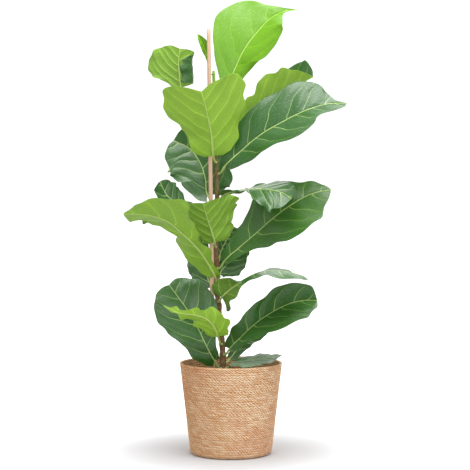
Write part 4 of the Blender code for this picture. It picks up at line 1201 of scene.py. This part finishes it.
def basket_tree(material):
    """A band of coiled cord rows, closed between its outer and inner sides."""
    tree, w, given = new_tree(
        "Cord rows",
        (
            "Foot Radius", "Rim Radius", "Height", "Foot Rounding", "Wall", "Cord Depth",
            "Strand Depth", "Slant",
        ),
        ("First Row", "Rows", "All Rows", "Strands", "Steps Round", "Seed"),
    )
    rows = given["Rows"]

    # A flat grid: its columns go round the basket, and its rows go up the outside, down the inside and
    # back to the start.
    last = w.plus(w.times(rows, ROW_STEPS_OUTSIDE + ROW_STEPS_INSIDE), 2)
    grid = w.feed(
        w.add("GeometryNodeMeshGrid"), Size_X=1.0, Size_Y=1.0,
        Vertices_X=w.plus(given["Steps Round"], 1), Vertices_Y=w.plus(last, 1),
    )
    x, y, _ = w.parts(w.add("GeometryNodeInputPosition").outputs[0])
    turn = w.plus(x, 0.5)
    step = w.math("ROUND", w.times(w.plus(y, 0.5), last))
    outer_steps = w.times(rows, ROW_STEPS_OUTSIDE)
    closing = w.math("GREATER_THAN", step, w.minus(last, 0.5))
    inner = w.minus(w.math("GREATER_THAN", step, w.plus(outer_steps, 0.5)), closing)
    outer = w.minus(1, inner)
    up = w.over(step, ROW_STEPS_OUTSIDE)
    down = w.minus(rows, w.over(w.minus(step, w.plus(outer_steps, 1)), ROW_STEPS_INSIDE))
    climb = w.times(w.plus(w.times(up, outer), w.times(down, inner)), w.minus(1, closing))
    whole = w.plus(climb, given["First Row"])
    counted = w.plus(whole, ROW_NUDGE)
    row = w.math("FLOOR", counted)

    # The wall leans out from foot to rim and rounds under at the foot.
    height = w.times(whole, w.over(given["Height"], given["All Rows"]))
    lean = w.times(w.minus(given["Rim Radius"], given["Foot Radius"]), w.over(height, given["Height"]))
    bend = w.most(w.minus(1, w.over(height, given["Foot Rounding"])), 0)
    bend = w.minus(1, w.math("SQRT", w.most(w.minus(1, w.math("POWER", bend, 2)), 0)))
    radius = w.minus(w.plus(given["Foot Radius"], lean), w.times(bend, given["Foot Rounding"]))

    # Each row swells out, and strands wound round it stand out in turn.
    part = w.minus(w.times(w.math("FRACT", counted), 2), 1)
    swell = w.math("SQRT", w.most(w.minus(1, w.math("POWER", part, 2)), 0))
    angle = w.plus(w.times(turn, math.tau), math.pi / 2)
    cosine = w.math("COSINE", angle)
    sine = w.math("SINE", angle)
    drift = w.noise(w.vector(cosine, sine, w.times(height, 9)), 5.0, 3.0)
    jitter = w.add("FunctionNodeRandomValue", data_type="FLOAT")
    w.feed(jitter, ID=row, Seed=given["Seed"])
    jitter_value = [socket for socket in jitter.outputs if socket.enabled][0]
    phase = w.plus(w.times(turn, given["Strands"]), w.times(whole, given["Slant"]))
    phase = w.plus(phase, w.plus(jitter_value, w.times(drift, 2.2)))
    strand = w.times(w.minus(w.math("SQRT", w.ridge(phase)), 0.65), given["Strand Depth"])
    rough = w.swing(w.noise(w.vector(phase, w.times(whole, 1.7), row), 0.9), 0.0012)
    out = w.times(w.minus(swell, 1), given["Cord Depth"])
    out = w.plus(out, w.times(w.plus(strand, rough), w.times(swell, 0.8)))
    outside = w.plus(radius, out)
    inside = w.minus(w.minus(radius, given["Wall"]), out)
    across = w.plus(w.times(outside, outer), w.times(inside, inner))

    mark = w.add("GeometryNodeStoreNamedAttribute", data_type="FLOAT_VECTOR", domain="POINT")
    w.feed(mark, Geometry=grid.outputs["Mesh"], Name="cord", Value=w.vector(phase, counted, row))
    shape = w.add("GeometryNodeSetPosition")
    place = w.vector(w.times(across, cosine), w.times(across, sine), height)
    w.feed(shape, Geometry=mark.outputs["Geometry"], Position=place)
    weld = w.add("GeometryNodeMergeByDistance")
    w.feed(weld, Geometry=shape.outputs["Geometry"], Distance=WELD_DISTANCE)
    finish_tree(w, weld.outputs["Geometry"], material)
    return tree


def chip_tree(material):
    """Bark chips scattered over a disc."""
    tree, w, given = new_tree("Bark chips", ("Radius", "Height", "Density", "Chip Size"), ("Seed",))
    disc = w.add("GeometryNodeMeshCircle", fill_type="NGON")
    w.feed(disc, Vertices=48, Radius=given["Radius"])
    lift = w.add("GeometryNodeTransform")
    w.feed(lift, Geometry=disc.outputs["Mesh"], Translation=w.vector(0.0, 0.0, given["Height"]))
    scatter = w.add("GeometryNodeDistributePointsOnFaces")
    w.feed(scatter, Mesh=lift.outputs["Geometry"], Density=given["Density"], Seed=given["Seed"])
    chip = w.add("GeometryNodeMeshIcoSphere")
    w.feed(chip, Radius=w.times(given["Chip Size"], 0.5), Subdivisions=2)
    squeeze = w.add("FunctionNodeRandomValue", data_type="FLOAT_VECTOR")
    tilt = w.add("FunctionNodeRandomValue", data_type="FLOAT_VECTOR")
    for random, limits in ((squeeze, CHIP_SQUEEZE), (tilt, CHIP_TILT)):
        random.inputs[0].default_value, random.inputs[1].default_value = limits
        w.feed(random, Seed=given["Seed"])
    place = w.add("GeometryNodeInstanceOnPoints")
    w.feed(
        place, Points=scatter.outputs["Points"], Instance=chip.outputs["Mesh"],
        Rotation=tilt.outputs[0], Scale=squeeze.outputs[0],
    )
    finish_tree(w, place.outputs["Instances"], material)
    return tree


def basket_floor(pitch, material):
    """The coiled floor inside the foot, with the marks that the cord's material reads."""
    reach = FOOT_RADIUS - FLOOR_GAP
    steps = int(reach / pitch) * ROW_STEPS_OUTSIDE
    under = []
    over = []
    for step in range(steps + 1):
        swell = abs(math.sin(math.pi * step / ROW_STEPS_OUTSIDE))
        under.append((reach * step / steps, FLOOR_SWELL * (1 - swell)))
        over.append((reach * (1 - step / steps), FLOOR_TOP + FLOOR_SWELL * swell))
    floor = turned_piece("basket_floor", under + over, FLOOR_STEPS, material)
    marks = []
    for vertex in floor.data.vertices:
        climb = vertex.co.xy.length / pitch
        row = math.floor(climb + ROW_NUDGE)
        angle = math.atan2(vertex.co.y, vertex.co.x) / math.tau
        marks.append((angle * max(row, 1) * FLOOR_STRANDS + climb, climb, row))
    carry(floor.data, "cord", "FLOAT_VECTOR", marks)
    return floor


class FIG_OT_basket(bpy.types.Operator):
    """Make the coiled cord basket"""

    bl_idname = "fig.basket"
    bl_label = "Basket"

    def execute(self, context):
        settings = context.scene.fig_basket
        material = cord_material(settings)
        tree = basket_tree(material)
        first = 0
        for band in range(BASKET_BANDS):
            rows = settings.rows // BASKET_BANDS + (1 if band < settings.rows % BASKET_BANDS else 0)
            values = {
                "Foot Radius": FOOT_RADIUS, "Rim Radius": RIM_RADIUS, "Height": BASKET_HEIGHT,
                "Foot Rounding": FOOT_ROUNDING, "Wall": settings.wall, "Cord Depth": settings.cord_depth,
                "Strand Depth": settings.strand_depth, "Slant": settings.slant, "First Row": first,
                "Rows": rows, "All Rows": settings.rows, "Strands": settings.strands,
                "Steps Round": settings.strands * STEPS_PER_STRAND, "Seed": CORD_SEED,
            }
            piece = evaluated_piece(f"basket_rows_{band + 1}", tree, values)
            finish_piece(piece, ["basket"])
            first += rows
        floor = basket_floor(BASKET_HEIGHT / settings.rows, material)
        finish_piece(floor, ["basket"])
        return {"FINISHED"}


class FIG_OT_pot(bpy.types.Operator):
    """Finish the nursery pot and lay bark chips on the growing mix"""

    bl_idname = "fig.pot"
    bl_label = "Pot and growing mix"

    def execute(self, context):
        settings = context.scene.fig_basket
        dress(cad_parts["nursery_pot"], pot_material())
        dress(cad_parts["growing_mix"], mix_material("growing_mix", MIX_COLOURS, 420.0))
        values = {
            "Radius": MIX_HIGH[0] - CHIP_MARGIN, "Height": SOIL_TOP - CHIP_SINK,
            "Density": float(settings.chips), "Chip Size": settings.chip_size, "Seed": CHIP_SEED,
        }
        tree = chip_tree(mix_material("bark_chips", CHIP_COLOURS, 260.0))
        piece = evaluated_piece("bark_chips", tree, values)
        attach(piece, "root")
        return {"FINISHED"}


class FIG_OT_stem(bpy.types.Operator):
    """Make the stem, which swells and dips where each leaf joins it"""

    bl_idname = "fig.stem"
    bl_label = "Stem"

    def execute(self, context):
        settings = context.scene.fig_stem
        x, y, _ = STEM_LINE[0]
        line = [(x, y, -ROOT_DEPTH), (x, y, -0.002)] + list(STEM_LINE[1:])
        fine = smooth_line([above_crown(place) for place in line], STEM_STEPS)
        joints = [leaf["joint"] for leaf in LEAVES if leaf["name"] != "terminal_bud"]
        radii = []
        for place in fine:
            height = place[2] - CROWN
            radius = stem_radius(height, settings.stem_low, settings.stem_high)
            for joint in joints:
                radius += JOINT_SWELL[0] * bell(height - joint, JOINT_SWELL[1])
                radius -= JOINT_DIP[0] * bell(height - joint - JOINT_DIP_RISE, JOINT_DIP[1])
            radius += STEM_WOBBLE * math.sin(height * 260) * math.sin(height * 97)
            if height > STEM_HEIGHT - STEM_END:
                radius *= 0.75
            radii.append(radius)
        points, faces = tube(fine, radii, STEM_SIDES)
        piece = new_piece("fig_stem", points, faces, [bark_material(settings)])
        finish_piece(piece, ["stem"])
        return {"FINISHED"}


def scale_points(number, height, heading, length, lean):
    """The outer and then the inner points of one papery scale, which wraps the stem and tapers up."""
    middle = above_crown(stem_at(height))
    radius = stem_radius(height) + SCALE_GAP
    outer = []
    inner = []
    for row in range(SCALE_ROWS + 1):
        up = row / SCALE_ROWS
        half = 0.95 * (1 - up**1.6) + 0.05
        for column in range(SCALE_COLUMNS + 1):
            side = (column / SCALE_COLUMNS - 0.5) * 2 * half
            angle = heading + side * 1.1 * (1 - 0.35 * up)
            reach = radius + lean * up**1.7 * (1 + 0.25 * math.sin(side * 5 + number))
            out = np.array((math.cos(angle), math.sin(angle), 0.0))
            spot = middle + out * reach + (0.0, 0.0, up * length)
            outer.append(spot)
            inner.append(spot - out * SCALE_THICKNESS)
    return outer + inner


class FIG_OT_scales(bpy.types.Operator):
    """Make the dry papery scales left where leaves opened"""

    bl_idname = "fig.scales"
    bl_label = "Papery scales"

    def execute(self, context):
        paper = scale_material()
        faces, _ = sheet_faces(SCALE_ROWS + 1, SCALE_COLUMNS + 1)
        for number, values in enumerate(SCALES):
            points = scale_points(number, *values)
            piece = new_piece(f"papery_scale_{number + 1}", points, faces, [paper])
            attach(piece, "root")
        return {"FINISHED"}


class FIG_OT_cane(bpy.types.Operator):
    """Make the support cane and dress the ties"""

    bl_idname = "fig.cane"
    bl_label = "Cane and ties"

    def execute(self, context):
        settings = context.scene.fig_stem
        foot = above_crown(CANE_FOOT)
        top = above_crown(CANE_TOP)
        points = []
        radii = []
        for step in range(CANE_STEPS + 1):
            height = CANE_LOW[2] + (CANE_HIGH[2] - CANE_LOW[2]) * step / CANE_STEPS
            along = max((height - foot[2]) / (top[2] - foot[2]), 0.0)
            place = foot + (top - foot) * along
            points.append((place[0], place[1], height))
            radius = settings.cane_low + (settings.cane_high - settings.cane_low) * along
            radii.append(radius * (1 + 0.012 * math.sin(height * 55) + 0.008 * math.sin(height * 170)))
        radii[-1] *= 0.86
        points[-2] = tuple(np.array(points[-1]) - (0.0, 0.0, CANE_BEVEL))
        rings, faces = tube(points, radii, CANE_SIDES)
        piece = new_piece("support_cane", rings, faces, [cane_material(settings)])
        finish_piece(piece, ["support_cane"])
        tie = tie_material()
        for name in ("plant_tie_1", "plant_tie_2"):
            dress(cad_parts[name], tie)
        return {"FINISHED"}


class FIG_OT_leaves(bpy.types.Operator):
    """Make every leaf and the bud"""

    bl_idname = "fig.leaves"
    bl_label = "Leaves and bud"

    def execute(self, context):
        settings = context.scene.fig_leaf
        materials = leaf_materials(settings)
        for leaf in LEAVES:
            make_leaf(leaf, settings, materials)
        return {"FINISHED"}


def facing(thing, place, target):
    """Puts a lamp or a camera in its place, turned to the target."""
    thing.location = place
    thing.rotation_euler = (Vector(target) - Vector(place)).to_track_quat("-Z", "Y").to_euler()
    bpy.context.scene.collection.objects.link(thing)
    return thing


def area_light(name, place, target, width, power):
    """A soft square white light that faces the target."""
    light = bpy.data.lights.new(name, "AREA")
    light.shape = "SQUARE"
    light.size = width
    light.energy = power
    return facing(bpy.data.objects.new(name, light), place, target)


class FIG_OT_stage(bpy.types.Operator):
    """Set up the floor, the lights and the camera"""

    bl_idname = "fig.stage"
    bl_label = "Stage"

    def execute(self, context):
        settings = context.scene.fig_stage
        scene = context.scene
        bpy.ops.mesh.primitive_plane_add(size=40.0)
        floor = context.active_object
        floor.name = "studio_floor"
        material, w, shader = new_material("studio_floor", 0.9, 0.0)
        # Away from the basket the floor glows as the backdrop does, so that no horizon shows.
        x, y, _ = w.parts(w.place())
        away = w.math("SQRT", w.plus(w.math("POWER", x, 2.0), w.math("POWER", y, 2.0)))
        seen = w.add("ShaderNodeLightPath").outputs["Is Camera Ray"]
        glow = w.times(w.smooth(away, 0.13, 0.62), seen)
        w.feed(shader, Base_Color=colour(FLOOR_GREY), Emission_Color=colour(WHITE), Emission_Strength=glow)
        floor.data.materials.append(material)

        world = scene.world or bpy.data.worlds.new("studio")
        scene.world = world
        world.use_nodes = True
        w = Wiring(world.node_tree)
        seen = w.add("ShaderNodeLightPath").outputs["Is Camera Ray"]
        strength = w.plus(settings.sky, w.times(seen, 1.2 - settings.sky))
        w.feed(world.node_tree.nodes["Background"], Color=colour(WHITE), Strength=strength)
        scene.view_settings.view_transform = "Standard"

        area_light("key_light", (0.2, -0.7, 2.8), (0.0, 0.0, 0.5), 1.8, settings.key)
        area_light("back_light", (0.0, 1.7, 2.3), (0.0, 0.0, 0.55), 2.0, settings.back)
        area_light("fill_light", (1.2, -2.6, 1.2), (0.0, 0.0, 0.55), 1.6, settings.fill)

        camera = bpy.data.cameras.new("camera")
        camera.lens = settings.lens
        camera.sensor_width = 36.0
        camera.clip_end = 100.0
        viewer = bpy.data.objects.new("camera", camera)
        scene.camera = facing(viewer, (0.0092, -3.3, 0.626), (0.0092, 0.0, 0.5035))
        return {"FINISHED"}


GROUPS = {
    "fig_basket": FigBasketSettings,
    "fig_leaf": FigLeafSettings,
    "fig_stem": FigStemSettings,
    "fig_stage": FigStageSettings,
}
OPERATORS = (
    FIG_OT_basket, FIG_OT_pot, FIG_OT_stem, FIG_OT_scales, FIG_OT_cane, FIG_OT_leaves, FIG_OT_stage,
)


class FIG_PT_panel(bpy.types.Panel):
    """Lists the sizes, the colours and the pieces"""

    bl_idname = "FIG_PT_panel"
    bl_label = "Fiddle leaf fig"
    bl_space_type = "VIEW_3D"
    bl_region_type = "UI"
    bl_category = "Fig"

    def draw(self, context):
        for group in GROUPS:
            box = self.layout.box()
            settings = getattr(context.scene, group)
            for name in settings.__annotations__:
                box.prop(settings, name)
        for operator in OPERATORS:
            self.layout.operator(operator.bl_idname)


def register():
    """Registers the settings, the operators and the panel."""
    for name, group in GROUPS.items():
        bpy.utils.register_class(group)
        setattr(bpy.types.Scene, name, PointerProperty(type=group))
    for operator in OPERATORS:
        bpy.utils.register_class(operator)
    bpy.utils.register_class(FIG_PT_panel)


def unregister():
    """Takes the settings, the operators and the panel away again."""
    bpy.utils.unregister_class(FIG_PT_panel)
    for operator in reversed(OPERATORS):
        bpy.utils.unregister_class(operator)
    for name, group in reversed(GROUPS.items()):
        delattr(bpy.types.Scene, name)
        bpy.utils.unregister_class(group)


def main():
    """Builds every piece."""
    register()
    bpy.ops.fig.basket()
    bpy.ops.fig.pot()
    bpy.ops.fig.stem()
    bpy.ops.fig.scales()
    bpy.ops.fig.cane()
    bpy.ops.fig.leaves()
    bpy.ops.fig.stage()


if __name__ == "__main__":
    main()
